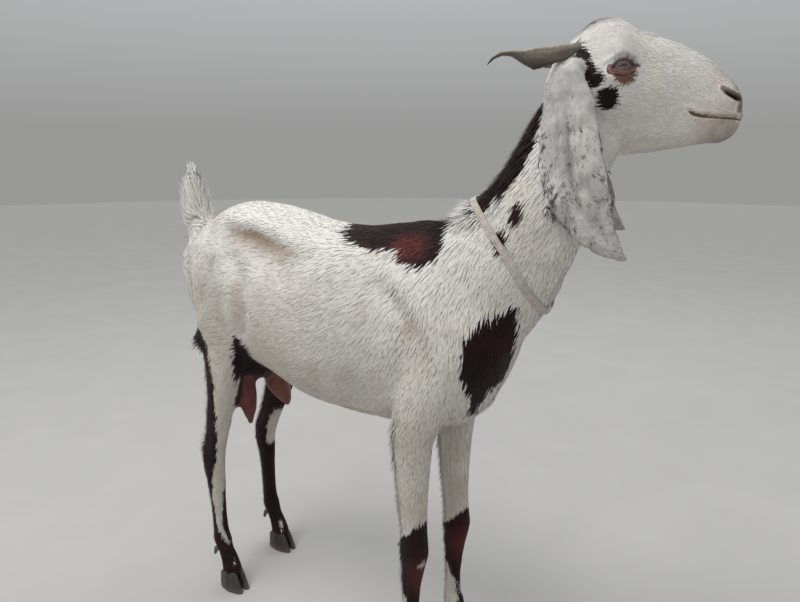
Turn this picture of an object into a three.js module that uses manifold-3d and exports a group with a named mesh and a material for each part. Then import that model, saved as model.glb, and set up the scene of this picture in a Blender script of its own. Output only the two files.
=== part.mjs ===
// A life-size standing dairy doe: long hanging ears, backswept horns, an upright tail and a tape collar.
// Millimetres, +Z up, the nose towards +X and the doe's left side towards +Y.
// The body is lofted in one piece, out to the tips of the coat, and thin cuts part it into named lengths.
import * as THREE from "three";
import Module from "manifold-3d";

const wasm = await Module();
wasm.setup();

// ---------- driving dimensions ----------
const GAP = 0.3; // clearance between touching pieces, and the width of each parting cut
const CORONET = 36; // height at which hair ends and horn of the foot begins
const EYE_RADIUS = 13;
const EYE = { forward: 47, side: 42, up: 30 }; // in the head's own frame
const HEAD = { at: [405, 55, 980], yaw: 11, pitch: 8 }; // degrees: turned to the left, nose down
const COLLAR = { width: 10, thick: 1.6, lift: 0.4 };
const [RIGHT, LEFT] = [-1, 1];

// ---------- materials ----------
const finish = (color, roughness = 0.85) =>
  new THREE.MeshStandardMaterial({ color, roughness, metalness: 0 });
const whiteCoat = finish("#dcd6cb");
const brownCoat = finish("#2b1413");
const bareSkin = finish("#8a4a3c", 0.6);
const hornSheath = finish("#857a6c", 0.55);
const hoofHorn = finish("#4b4743", 0.6);
const eyeball = finish("#6b4a2e", 0.1);
const collarTape = finish("#c9c0b8", 0.8);

// ---------- small maths ----------
const radians = THREE.MathUtils.degToRad;
const power = (value, exponent) => Math.sign(value) * Math.abs(value) ** exponent;

// A smooth run through a list of numbers; t goes from 0 at the first to 1 at the last.
function smooth(values, t) {
  const last = values.length - 1;
  const span = Math.min(Math.floor(t * last), last - 1);
  const u = t * last - span;
  const [a, b] = [values[span], values[span + 1]];
  const before = values[Math.max(span - 1, 0)];
  const after = values[Math.min(span + 2, last)];
  const [leave, arrive] = [(b - before) / 2, (after - a) / 2];
  const bend = 3 * (b - a) - 2 * leave - arrive;
  return a + u * leave + u * u * bend + u ** 3 * (2 * (a - b) + leave + arrive);
}

// ---------- section shapes, from a station's sizes and the share of the way round ----------
// Each gives [across, deep]: across runs to the piece's left, deep to its back, or forwards on a leg.
function oval({ up, down, wide, squareUp = 2, squareDown = 2 }, share) {
  const turn = share * 2 * Math.PI;
  const above = Math.cos(turn) > 0;
  const square = above ? squareUp : squareDown;
  const across = wide * power(Math.sin(turn), 2 / square);
  const deep = (above ? up : down) * power(Math.cos(turn), 2 / square);
  return [across, deep];
}

// A thin leaf, curled about its midline: up is half its breadth, wide half its thickness, curl its hollow.
function leaf({ up, wide, curl = 0, ripple = 0 }, share) {
  const turn = share * 2 * Math.PI;
  const along = Math.cos(turn);
  const hollow = curl * along * along + ripple * Math.cos(along * 3 * Math.PI);
  return [wide * Math.sin(turn) + hollow, up * along];
}

// ---------- lofting ----------
const SIZES = ["up", "down", "wide", "squareUp", "squareDown", "curl", "ripple", "turn"];
const DEFAULTS = { down: null, squareUp: 2, squareDown: 2, curl: 0, ripple: 0, turn: 0 };

// Sweeps a section through named stations. Upright keeps every ring square to the x axis.
function loft({ stations, section = oval, rings = 20, sides = 16, upright = false, grow = 0, across }) {
  const full = stations.map((s) => ({ ...DEFAULTS, ...s, down: s.down ?? s.up }));
  const middle = (axis, t) => smooth(full.map((s) => s.at[axis]), t);
  const centre = (t) => new THREE.Vector3(middle(0, t), middle(1, t), middle(2, t));
  const level = new THREE.Vector3(...(across ?? [0, 1, 0]));
  const vertices = [];
  const push = (p) => vertices.push(p.x, p.y, p.z) / 3 - 1;
  const rows = [];
  for (let ring = 0; ring <= rings; ring++) {
    const t = ring / rings;
    const at = centre(t);
    const step = 0.01;
    const heading = centre(Math.min(t + step, 1)).sub(centre(Math.max(t - step, 0))).normalize();
    if (upright) heading.set(1, 0, 0);
    const side = level.clone().addScaledVector(heading, -heading.dot(level));
    side.normalize();
    const sizes = Object.fromEntries(SIZES.map((key) => [key, smooth(full.map((s) => s[key]), t)]));
    side.applyAxisAngle(heading, radians(sizes.turn));
    const deep = new THREE.Vector3().crossVectors(heading, side);
    for (const key of ["up", "down", "wide"]) sizes[key] += grow;
    const row = [];
    for (let i = 0; i < sides; i++) {
      const [a, d] = section(sizes, i / sides);
      row.push(push(at.clone().addScaledVector(side, a).addScaledVector(deep, d)));
    }
    rows.push(row);
  }
  const faces = [];
  for (let ring = 0; ring < rings; ring++) {
    for (let i = 0; i < sides; i++) {
      const [a, b] = [rows[ring][i], rows[ring][(i + 1) % sides]];
      const [c, d] = [rows[ring + 1][i], rows[ring + 1][(i + 1) % sides]];
      faces.push(a, c, b, b, c, d);
    }
  }
  const [start, end] = [push(centre(0)), push(centre(1))];
  for (let i = 0; i < sides; i++) {
    const j = (i + 1) % sides;
    faces.push(start, rows[0][i], rows[0][j], end, rows[rings][j], rows[rings][i]);
  }
  const geometry = new THREE.BufferGeometry();
  geometry.setAttribute("position", new THREE.Float32BufferAttribute(vertices, 3));
  geometry.setIndex(faces);
  return geometry;
}

// Raises or sinks soft rounded areas: each bump has a centre, a reach along x, y and z, and a height.
function swell(geometry, bumps) {
  geometry.computeVertexNormals();
  const position = geometry.getAttribute("position");
  const normal = geometry.getAttribute("normal");
  for (let i = 0; i < position.count; i++) {
    const p = [position.getX(i), position.getY(i), position.getZ(i)];
    const n = [normal.getX(i), normal.getY(i), normal.getZ(i)];
    let rise = 0;
    for (const { at, reach, by } of bumps) {
      const far = at.reduce((sum, c, axis) => sum + ((p[axis] - c) / reach[axis]) ** 2, 0);
      rise += by * Math.exp(-far / 2);
    }
    position.setXYZ(i, ...p.map((c, axis) => c + n[axis] * rise));
  }
  geometry.deleteAttribute("normal");
  return geometry;
}

// The same bump on the right and on the left.
const bothSides = ({ at: [x, y, z], ...bump }) =>
  [RIGHT, LEFT].map((side) => ({ ...bump, at: [x, side * y, z] }));

// ---------- solids ----------
function solidOf(geometry, matrix) {
  const own = new THREE.BufferGeometry();
  own.setAttribute("position", geometry.getAttribute("position").clone());
  if (matrix) own.applyMatrix4(matrix);
  const triVerts = new Uint32Array(geometry.index.array);
  const solid = new wasm.Manifold(
    new wasm.Mesh({ numProp: 3, vertProperties: own.getAttribute("position").array, triVerts }),
  );
  if (solid.volume() > 0) return solid;
  return new wasm.Manifold(
    new wasm.Mesh({
      numProp: 3,
      vertProperties: own.getAttribute("position").array,
      triVerts: triVerts.toReversed(),
    }),
  );
}

// A closed three.js primitive with its seams merged, as a solid.
function primitive(geometry, matrix) {
  const source = (geometry.index ? geometry.toNonIndexed() : geometry).getAttribute("position");
  const index = new Map();
  const vertices = [];
  const faces = [];
  for (let i = 0; i < source.count; i++) {
    const p = [source.getX(i), source.getY(i), source.getZ(i)];
    const key = p.map((c) => Math.round(c * 1e3)).join();
    if (!index.has(key)) index.set(key, vertices.push(...p) / 3 - 1);
    faces.push(index.get(key));
  }
  const whole = [];
  for (let i = 0; i < faces.length; i += 3) {
    const [a, b, c] = faces.slice(i, i + 3);
    if (a !== b && b !== c && a !== c) whole.push(a, b, c);
  }
  const merged = new THREE.BufferGeometry();
  merged.setAttribute("position", new THREE.Float32BufferAttribute(vertices, 3));
  merged.setIndex(whole);
  return solidOf(merged, matrix);
}

function geometryOf(solid) {
  const mesh = solid.getMesh();
  const geometry = new THREE.BufferGeometry();
  geometry.setAttribute("position", new THREE.Float32BufferAttribute(mesh.vertProperties.slice(), 3));
  geometry.setIndex([...mesh.triVerts]);
  return geometry;
}

const join = (solids) => solids.reduce((whole, solid) => whole.add(solid));

function place(at, rotation = new THREE.Quaternion()) {
  return new THREE.Matrix4().compose(new THREE.Vector3(...at), rotation, new THREE.Vector3(1, 1, 1));
}

// A round cut of the parting gap's thickness, square to the given direction.
function partingCut({ at, facing, radius }) {
  const rotation = new THREE.Quaternion().setFromUnitVectors(
    new THREE.Vector3(0, 1, 0),
    new THREE.Vector3(...facing).normalize(),
  );
  return primitive(new THREE.CylinderGeometry(radius, radius, GAP, 12), place(at, rotation));
}

// ---------- trunk ----------
// Each station: distance along the doe, heights of back, widest level and underline, and half-width.
const TRUNK = [
  { x: -372, back: 704, level: 668, under: 628, half: 22 },
  { x: -358, back: 744, level: 668, under: 585, half: 46 },
  { x: -328, back: 766, level: 668, under: 545, half: 66 },
  { x: -282, back: 793, level: 672, under: 512, half: 80 },
  { x: -230, back: 815, level: 678, under: 497, half: 88 },
  { x: -170, back: 822, level: 668, under: 492, half: 96 },
  { x: -100, back: 818, level: 650, under: 488, half: 108 },
  { x: -30, back: 801, level: 636, under: 476, half: 122, squareDown: 2.2 },
  { x: 40, back: 790, level: 630, under: 468, half: 126, squareDown: 2.2 },
  { x: 110, back: 794, level: 630, under: 466, half: 117, squareUp: 1.85 },
  { x: 175, back: 804, level: 630, under: 466, half: 104, squareUp: 1.7 },
  { x: 230, back: 810, level: 635, under: 470, half: 94, squareUp: 1.65 },
  { x: 280, back: 792, level: 645, under: 490, half: 84, squareUp: 1.8 },
  { x: 318, back: 768, level: 650, under: 534, half: 72 },
  { x: 338, back: 745, level: 656, under: 578, half: 58 },
  { x: 350, back: 722, level: 662, under: 612, half: 42 },
  { x: 358, back: 700, level: 668, under: 642, half: 22 },
];

const TRUNK_BUMPS = [
  ...bothSides({ at: [-176, 88, 778], reach: [26, 26, 20], by: 12 }), // hook bone
  ...bothSides({ at: [-352, 48, 700], reach: [22, 22, 22], by: 9 }), // pin bone
  ...bothSides({ at: [-125, 95, 742], reach: [34, 40, 30], by: -13 }), // hollow of the flank
  ...bothSides({ at: [-255, 80, 760], reach: [36, 40, 24], by: -7 }), // hollow of the croup
  ...bothSides({ at: [-235, 95, 620], reach: [60, 40, 70], by: 10 }), // thigh muscle
  ...bothSides({ at: [225, 80, 700], reach: [30, 40, 70], by: 9 }), // shoulder blade
  ...bothSides({ at: [300, 72, 610], reach: [32, 30, 38], by: 10 }), // point of the shoulder
  ...bothSides({ at: [168, 100, 640], reach: [24, 40, 80], by: -6 }), // hollow behind the shoulder
  ...bothSides({ at: [0, 110, 545], reach: [80, 50, 40], by: 6 }), // belly
];

function trunk(grow = 0) {
  const stations = TRUNK.map(({ x, back, level, under, half, ...squares }) => ({
    at: [x, 0, level],
    up: back - level,
    down: level - under,
    wide: half,
    ...squares,
  }));
  return solidOf(swell(loft({ stations, rings: 20, sides: 20, upright: true, grow }), TRUNK_BUMPS));
}

// ---------- neck ----------
const NECK = [
  { at: [258, 0, 668], up: 130, down: 102, wide: 72 },
  { at: [316, 2, 752], up: 98, down: 104, wide: 64 },
  { at: [355, 12, 822], up: 68, down: 88, wide: 53 },
  { at: [376, 32, 880], up: 58, down: 72, wide: 45 },
  { at: [394, 46, 930], up: 56, down: 76, wide: 43 },
  { at: [408, 56, 982], up: 46, down: 60, wide: 40 },
];

const neck = (grow = 0) => solidOf(loft({ stations: NECK, rings: 9, sides: 15, grow }));

// ---------- tail, carried upright ----------
const TAIL = [
  { at: [-328, 0, 708], up: 38, down: 20, wide: 32 },
  { at: [-350, 0, 752], up: 43, down: 26, wide: 34 },
  { at: [-362, 0, 795], up: 29, down: 24, wide: 31 },
  { at: [-368, 0, 832], up: 20, down: 18, wide: 27 },
  { at: [-371, 0, 858], up: 13, down: 12, wide: 20 },
  { at: [-372, 0, 874], up: 4, wide: 7 },
];

const tail = () => solidOf(loft({ stations: TAIL, rings: 8, sides: 10 }));

// ---------- legs: up and down here are the reach forwards and backwards of the leg's own line ----------
function foreleg(side, { stride }) {
  const y = (out) => side * out;
  const x = (along, share) => along + stride * share;
  const stations = [
    { at: [x(262, 0), y(62), 660], up: 52, wide: 30 }, // shoulder
    { at: [x(244, 0), y(70), 560], up: 50, wide: 34 },
    { at: [x(216, 0.2), y(66), 490], up: 44, down: 37, wide: 31 }, // elbow
    { at: [x(214, 0.4), y(62), 430], up: 34, down: 33, wide: 27 },
    { at: [x(214, 0.6), y(59), 365], up: 28, wide: 24 }, // forearm
    { at: [x(216, 0.8), y(57), 308], up: 24, wide: 21 },
    { at: [x(218, 0.9), y(56), 268], up: 25, wide: 22.5 }, // knee
    { at: [x(214, 1), y(56), 228], up: 20, wide: 18.5 },
    { at: [x(211, 1), y(56), 180], up: 16, wide: 15 }, // cannon
    { at: [x(211, 1), y(56), 135], up: 15, wide: 15 },
    { at: [x(214, 1), y(56), 104], up: 18.5, wide: 18.5 }, // fetlock
    { at: [x(224, 1), y(56), 78], up: 17, wide: 17 },
    { at: [x(235, 1), y(56), 54], up: 19, wide: 20 }, // pastern
    { at: [x(240, 1), y(56), CORONET - 8], up: 26, wide: 22 },
  ];
  return { solid: solidOf(loft({ stations, rings: 17, sides: 10 })), foot: [x(240, 1), y(56)] };
}

function hindleg(side, { stride, reach, out }) {
  const y = (share) => side * (72 + out * share);
  const x = (along, share, bend = 0) => along + stride * share + reach * bend;
  const stations = [
    { at: [x(-225, 0), side * 52, 700], up: 64, down: 80, wide: 34 }, // hip
    { at: [x(-236, 0), side * 60, 620], up: 74, down: 78, wide: 36 }, // thigh
    { at: [x(-228, 0, 0.4), side * 66, 545], up: 66, down: 58, wide: 34 },
    { at: [x(-222, 0.1, 0.9), y(0.1), 490], up: 48, down: 48, wide: 29 }, // stifle
    { at: [x(-235, 0.3, 1), y(0.3), 430], up: 36, down: 40, wide: 25 },
    { at: [x(-251, 0.5, 0.6), y(0.5), 370], up: 27, down: 32, wide: 21 }, // gaskin
    { at: [x(-265, 0.7, 0.2), y(0.7), 318], up: 23, down: 32, wide: 19 },
    { at: [x(-274, 0.8), y(0.8), 282], up: 24, down: 33, wide: 21 }, // hock
    { at: [x(-273, 0.9), y(0.9), 242], up: 21, down: 23, wide: 19 },
    { at: [x(-272, 1), y(1), 195], up: 17, down: 19, wide: 16 }, // cannon
    { at: [x(-271, 1), y(1), 140], up: 16, down: 18, wide: 15.5 },
    { at: [x(-268, 1), y(1), 106], up: 18, down: 20, wide: 18.5 }, // fetlock
    { at: [x(-257, 1), y(1), 80], up: 16, down: 18, wide: 17 },
    { at: [x(-246, 1), y(1), 55], up: 19, down: 19, wide: 19 }, // pastern
    { at: [x(-241, 1), y(1), CORONET - 8], up: 25, down: 25, wide: 21.5 },
  ];
  return { solid: solidOf(loft({ stations, rings: 19, sides: 10 })), foot: [x(-241, 1), y(1)] };
}

const LEGS = {
  foreleg_right: foreleg(RIGHT, { stride: -2 }),
  foreleg_left: foreleg(LEFT, { stride: 15 }),
  hindleg_right: hindleg(RIGHT, { stride: 0, reach: 0, out: -1 }),
  hindleg_left: hindleg(LEFT, { stride: -16, reach: 18, out: 12 }),
};

// ---------- udder ----------
const UDDER = [
  { at: [-206, 0, 560], up: 46, wide: 54 },
  { at: [-210, 0, 505], up: 50, wide: 54 },
  { at: [-210, 0, 478], up: 38, down: 42, wide: 46 },
  { at: [-210, 0, 462], up: 16, down: 16, wide: 22 },
];
const udder = () => solidOf(loft({ stations: UDDER, rings: 5, sides: 14 }));

const TEATS = {
  teat_right: [
    { at: [-206, -28, 482], up: 20, wide: 18 },
    { at: [-205, -36, 450], up: 16, wide: 15 },
    { at: [-203, -41, 410], up: 14, wide: 13 },
    { at: [-202, -44, 380], up: 6, wide: 6 },
    { at: [-202, -45, 372], up: 2, wide: 2 },
  ],
  teat_left: [
    { at: [-194, 26, 484], up: 30, wide: 22 },
    { at: [-190, 32, 456], up: 27, wide: 20 },
    { at: [-180, 38, 424], up: 17, wide: 15 },
    { at: [-171, 42, 400], up: 7, wide: 7 },
    { at: [-168, 43, 393], up: 2, wide: 2 },
  ],
};
const teat = (name, grow = 0) => solidOf(loft({ stations: TEATS[name], rings: 6, sides: 7, grow }));

// ---------- head, in a frame of its own: x to the nose, z to the crown ----------
const HEAD_STATIONS = [
  { x: -50, crown: 18, level: 0, jaw: -38, half: 16 },
  { x: -40, crown: 43, level: 4, jaw: -62, half: 33 },
  { x: -22, crown: 69, level: 8, jaw: -80, half: 43 },
  { x: 2, crown: 90, level: 14, jaw: -86, half: 48, squareUp: 2.3, squareDown: 1.7 },
  { x: 26, crown: 93, level: 16, jaw: -84, half: 51, squareUp: 2.4, squareDown: 1.6 },
  { x: 48, crown: 86, level: 14, jaw: -79, half: 50, squareUp: 2.4, squareDown: 1.6 },
  { x: 70, crown: 77, level: 8, jaw: -74, half: 44, squareUp: 2.2, squareDown: 1.7 },
  { x: 95, crown: 72, level: 4, jaw: -68, half: 36, squareUp: 2.1, squareDown: 1.8 },
  { x: 120, crown: 65, level: 2, jaw: -61, half: 30, squareUp: 2.1, squareDown: 1.9 },
  { x: 144, crown: 54, level: 0, jaw: -53, half: 27, squareUp: 2.1, squareDown: 2 },
  { x: 164, crown: 40, level: -3, jaw: -46, half: 26, squareUp: 2.2, squareDown: 2.2 },
  { x: 179, crown: 25, level: -6, jaw: -40, half: 25, squareUp: 2.2, squareDown: 2.2 },
  { x: 189, crown: 11, level: -9, jaw: -33, half: 20 },
  { x: 194, crown: 0, level: -11, jaw: -25, half: 11 },
];

const HEAD_BUMPS = [
  ...bothSides({ at: [42, 44, 50], reach: [15, 14, 9], by: 6 }), // brow over the eye
  ...bothSides({ at: [45, 46, 12], reach: [16, 12, 7], by: 4 }), // cheekbone below the eye
  ...bothSides({ at: [20, 46, -26], reach: [24, 24, 24], by: 5 }), // chewing muscle
  ...bothSides({ at: [74, 38, 26], reach: [14, 16, 14], by: -5 }), // hollow before the eye
  ...bothSides({ at: [2, 46, 52], reach: [16, 16, 14], by: -5 }), // temple
  ...bothSides({ at: [122, 26, -8], reach: [22, 16, 18], by: -5 }), // hollow of the cheek behind the lips
  ...bothSides({ at: [176, 20, 16], reach: [12, 14, 9], by: 4 }), // wing of the nostril
  ...bothSides({ at: [160, 24, -10], reach: [22, 16, 9], by: 2.5 }), // upper lip
  { at: [182, 0, -36], reach: [13, 20, 9], by: 3 }, // chin
  { at: [64, 0, 78], reach: [8, 22, 14], by: -4 }, // dip between the brows
  { at: [79, 0, 76], reach: [7, 14, 10], by: 3 }, // tuft of the forehead
];

const headAngles = new THREE.Euler(0, radians(HEAD.pitch), radians(HEAD.yaw), "ZYX");
const headTurn = new THREE.Quaternion().setFromEuler(headAngles);
const headPlace = place(HEAD.at, headTurn);

const NOSTRIL = { at: [181, 19, 13], reach: [9, 6, 3.6], tilt: -20 };
const MOUTH = { corner: 139, height: -14, open: 1.4, deep: 8 };

// A flat slit between the lips, running out at the corners of the mouth.
function mouthSlit() {
  const length = 80;
  const slab = primitive(
    new THREE.BoxGeometry(length, 80, MOUTH.open),
    place([MOUTH.corner + length / 2, 0, MOUTH.height]),
  );
  const core = new THREE.SphereGeometry(1, 10, 6);
  core.scale(186 - MOUTH.corner, 26 - MOUTH.deep, 20);
  return slab.subtract(primitive(core, place([MOUTH.corner, 0, MOUTH.height])));
}

function nostril(side) {
  const shape = new THREE.SphereGeometry(1, 7, 5);
  shape.scale(...NOSTRIL.reach);
  const turn = new THREE.Quaternion().setFromEuler(
    new THREE.Euler(0, radians(NOSTRIL.tilt), side * radians(-28)),
  );
  const [x, y, z] = NOSTRIL.at;
  return primitive(shape, place([x, side * y, z], turn));
}

function skull() {
  const stations = HEAD_STATIONS.map(({ x, crown, level, jaw, half, ...squares }) => ({
    at: [x, 0, level],
    up: crown - level,
    down: level - jaw,
    wide: half,
    ...squares,
  }));
  const shape = solidOf(swell(loft({ stations, rings: 19, sides: 16, upright: true }), HEAD_BUMPS));
  return shape.subtract(join([mouthSlit(), nostril(RIGHT), nostril(LEFT)]));
}

const eye = (side, radius) =>
  primitive(
    new THREE.SphereGeometry(radius, 9, 7),
    place([EYE.forward, side * EYE.side, EYE.up]),
  );

// ---------- ears: long folded leaves that hang past the throat ----------
const EAR_SET = {
  [RIGHT]: { back: 0, inward: 0, length: 1 },
  [LEFT]: { back: 16, inward: 24, length: 0.9 },
};

function ear(side, grow = 0) {
  const y = (out) => side * out;
  const bend = (curl) => side * curl;
  const { back, inward, length } = EAR_SET[side];
  const stations = [
    { at: [-8, y(38), 32], up: 12, wide: 7, curl: 0 }, // root
    { at: [-8, y(56), 26], up: 15, wide: 6, curl: bend(-4) },
    { at: [-8, y(72), 4], up: 26, wide: 4, curl: bend(-9) },
    { at: [0, y(80), -34], up: 38, wide: 3, curl: bend(-11), ripple: bend(1.5) },
    { at: [11, y(86), -76], up: 43, wide: 2.8, curl: bend(-9), ripple: bend(2.5) },
    { at: [29, y(91), -117], up: 43, wide: 2.8, curl: bend(-6), ripple: bend(3) },
    { at: [50, y(92), -151], up: 36, wide: 2.8, curl: bend(-5), ripple: bend(2) },
    { at: [73, y(90), -176], up: 24, wide: 2.6, curl: bend(-3), ripple: bend(1) },
    { at: [94, y(88), -190], up: 11, wide: 2.2, curl: bend(-1) },
    { at: [108, y(87), -196], up: 3, wide: 1.5 },
  ];
  for (const { at } of stations) {
    const hang = Math.max(Math.min(at[2] / -120, 1), 0); // 0 at the root, 1 well down the ear
    at[0] -= back * hang;
    at[1] -= side * inward * hang;
    at[2] *= hang > 0 ? length : 1;
  }
  return solidOf(loft({ stations, section: leaf, rings: 12, sides: 10, grow }));
}

// ---------- horns: flattened blades, swept back and twisting outwards ----------
function horn(side, grow = 0) {
  const y = (out) => side * out;
  const lift = side === LEFT ? 1 : 0; // the left horn sweeps a little higher and curls less
  const stations = [
    { at: [6, y(24), 52], up: 9, wide: 8, turn: 0 }, // inside the brow
    { at: [-14, y(31), 48], up: 9, wide: 7.5, turn: side * 8 },
    { at: [-38, y(36), 40 + 4 * lift], up: 11, wide: 6.5, turn: side * 12 },
    { at: [-60, y(40), 32 + 10 * lift], up: 15 - 2 * lift, wide: 5, turn: side * 20 },
    { at: [-80, y(43), 33 + 10 * lift], up: 10, wide: 4, turn: side * 50 },
    { at: [-98, y(45), 36 + 10 * lift], up: 6.5, wide: 3, turn: side * 80 },
    { at: [-114, y(45), 30 + 19 * lift], up: 4, wide: 2.2, turn: side * 92 },
    { at: [-124, y(44), 18 + 28 * lift], up: 1.4, wide: 1, turn: side * 98 },
  ];
  return solidOf(loft({ stations, rings: 9, sides: 7, grow }));
}

// ---------- feet: two claws and two dewclaws each ----------
const CLAW_HEIGHT = CORONET - GAP;
function claw([x, y], half) {
  const outline = (lift) => {
    const share = lift / CLAW_HEIGHT;
    const toe = 38 - 17 * share; // the wall slopes back to the coronet
    const heel = -27 + 3 * share;
    return { toe, heel, breadth: 10.5 - 1.2 * share };
  };
  const sides = 12;
  const levels = [0, 0.15, 1];
  const vertices = [];
  for (const level of levels) {
    const { toe, heel, breadth } = outline(level * CLAW_HEIGHT);
    const [middle, reach] = [(toe + heel) / 2, (toe - heel) / 2];
    for (let i = 0; i < sides; i++) {
      const turn = (i / sides) * 2 * Math.PI;
      const ahead = Math.max(Math.cos(turn), 0);
      const across = breadth * power(Math.sin(turn), 0.8) * (1 - 0.25 * ahead);
      const lean = -half * 3 * ahead; // the toes close towards each other
      const aside = half * (11.2 + GAP / 2) + across + lean;
      vertices.push(x + middle + reach * Math.cos(turn), y + aside, level * CLAW_HEIGHT);
    }
  }
  const faces = [];
  for (let level = 0; level < levels.length - 1; level++) {
    for (let i = 0; i < sides; i++) {
      const [a, b] = [level * sides + i, level * sides + ((i + 1) % sides)];
      faces.push(a, b, b + sides, a, b + sides, a + sides);
    }
  }
  const top = (levels.length - 1) * sides;
  for (let i = 1; i < sides - 1; i++) faces.push(0, i + 1, i, top, top + i, top + i + 1);
  const geometry = new THREE.BufferGeometry();
  geometry.setAttribute("position", new THREE.Float32BufferAttribute(vertices, 3));
  geometry.setIndex(faces);
  return solidOf(geometry);
}

function dewclaw([x, y], half, grow = 0) {
  const stations = [
    { at: [x - 24, y + half * 9, 92], up: 5, wide: 6 },
    { at: [x - 36, y + half * 10, 82], up: 6.5, wide: 6.5 },
    { at: [x - 42, y + half * 10, 70], up: 4, wide: 5 },
    { at: [x - 43, y + half * 10, 64], up: 1.5, wide: 2 },
  ];
  return solidOf(loft({ stations, rings: 3, sides: 5, grow }));
}

// ---------- the parting cuts ----------
const CUTS = [
  { at: [412, 40, 930], facing: [0.85, 0.2, 0.5], radius: 105 }, // neck from head
  { at: [325, 0, 745], facing: [0.78, 0, 0.62], radius: 150 }, // trunk from neck
  { at: [-345, 0, 770], facing: [-0.5, 0, 0.86], radius: 56 }, // tail
  { at: [-210, 0, 485], facing: [0, 0, 1], radius: 58 }, // udder
];

// The room each leg takes in the body, from the muscle that carries it down past its feet.
const LEG_ROOMS = {
  foreleg: [
    { at: [236, 128, 712], up: 8, wide: 8 },
    { at: [236, 122, 690], up: 40, wide: 42 },
    { at: [236, 112, 620], up: 66, wide: 68 },
    { at: [226, 102, 540], up: 74, down: 76, wide: 72 },
    { at: [216, 96, 470], up: 72, down: 76, wide: 70 },
    { at: [216, 90, 300], up: 76, wide: 76 },
    { at: [226, 86, -20], up: 90, wide: 80 },
  ],
  hindleg: [
    { at: [-240, 128, 728], up: 8, wide: 8 },
    { at: [-240, 122, 706], up: 52, wide: 48 },
    { at: [-240, 110, 630], up: 84, down: 92, wide: 76 },
    { at: [-232, 100, 545], up: 90, wide: 84 },
    { at: [-232, 98, 470], up: 86, wide: 84 },
    { at: [-250, 96, 300], up: 90, wide: 86 },
    { at: [-250, 94, -20], up: 96, wide: 88 },
  ],
};

function legRoom(leg, side, grow = 0) {
  const place = ({ at: [x, y, z], ...sizes }) => ({ ...sizes, at: [x, side * y, z] });
  const stations = LEG_ROOMS[leg].map(place);
  return solidOf(loft({ stations, rings: 5, sides: 9, grow }));
}

// A point inside each length of the body, by which the cut pieces are told apart.
const SEEDS = {
  head: [500, 75, 970],
  neck: [370, 10, 850],
  trunk: [0, 0, 640],
  tail: [-366, 0, 840],
  foreleg_right: [215, -57, 330],
  foreleg_left: [228, 57, 330],
  hindleg_right: [-240, -73, 390],
  hindleg_left: [-250, 73, 390],
  udder: [-210, 0, 474],
};

const EARS = { ear_right: RIGHT, ear_left: LEFT };
const HORNS = { horn_right: RIGHT, horn_left: LEFT };
const EYES = { eye_right: RIGHT, eye_left: LEFT };
const HALVES = { inner: -1, outer: 1 };

function feet() {
  const pieces = [];
  for (const [leg, { foot }] of Object.entries(LEGS)) {
    const side = leg.endsWith("right") ? RIGHT : LEFT;
    for (const [half, towards] of Object.entries(HALVES)) {
      const name = leg.replace("leg", "");
      pieces.push({ name: `claw_${name}_${half}`, solid: claw(foot, side * towards) });
      pieces.push({
        name: `dewclaw_${name}_${half}`,
        solid: dewclaw(foot, side * towards),
        socket: dewclaw(foot, side * towards, GAP),
      });
    }
  }
  return pieces;
}

const footPieces = feet();

// The whole body, and the sockets that its separate pieces sit in.
const footRoom = primitive(new THREE.BoxGeometry(1200, 600, CORONET), place([0, 0, CORONET / 2]));
const flesh = join([
  trunk(),
  neck(),
  tail(),
  udder(),
  skull().transform(headPlace.elements),
  ...Object.values(LEGS).map((leg) => leg.solid),
]).subtract(footRoom);
const inHead = (solid) => solid.transform(headPlace.elements);
const sockets = [
  ...Object.values(EARS).map((side) => inHead(ear(side, GAP))),
  ...Object.values(HORNS).map((side) => inHead(horn(side, GAP))),
  ...Object.values(EYES).map((side) => inHead(eye(side, EYE_RADIUS + GAP))),
  ...Object.keys(TEATS).map((name) => teat(name, GAP)),
  ...footPieces.filter((piece) => piece.socket).map((piece) => piece.socket),
];
const legShells = Object.keys(LEG_ROOMS).flatMap((leg) =>
  [RIGHT, LEFT].map((side) => legRoom(leg, side, GAP).subtract(legRoom(leg, side))),
);
const parted = flesh.subtract(join([...sockets, ...legShells, ...CUTS.map(partingCut)])).decompose();

const distance = (solid, [x, y, z]) => {
  const probe = primitive(new THREE.OctahedronGeometry(4), place([x, y, z]));
  return probe.intersect(solid).isEmpty() ? Infinity : 0;
};

const goat = new THREE.Group();
const headGroup = new THREE.Group();
headGroup.position.set(...HEAD.at);
headGroup.quaternion.copy(headTurn);
goat.add(headGroup);

function add(group, name, solid, material) {
  const mesh = new THREE.Mesh(geometryOf(solid), material);
  mesh.name = name;
  group.add(mesh);
  return mesh;
}

for (const [name, seed] of Object.entries(SEEDS)) {
  const piece = parted.find((solid) => distance(solid, seed) === 0);
  if (!piece) throw new Error(`no piece holds the seed of ${name}`);
  add(goat, name, piece, name === "udder" ? brownCoat : whiteCoat);
}
for (const [name, side] of Object.entries(EARS)) add(headGroup, name, ear(side), whiteCoat);
for (const [name, side] of Object.entries(HORNS)) add(headGroup, name, horn(side), hornSheath);
for (const [name, side] of Object.entries(EYES)) add(headGroup, name, eye(side, EYE_RADIUS), eyeball);
for (const name of Object.keys(TEATS)) add(goat, name, teat(name), bareSkin);
for (const { name, solid } of footPieces) add(goat, name, solid, hoofHorn);

// ---------- collar: a flat tape that hangs round the base of the neck in a gentle curve ----------
const LOOP = { centre: [108, 0, 593], radius: 301, steps: 54 };

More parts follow.
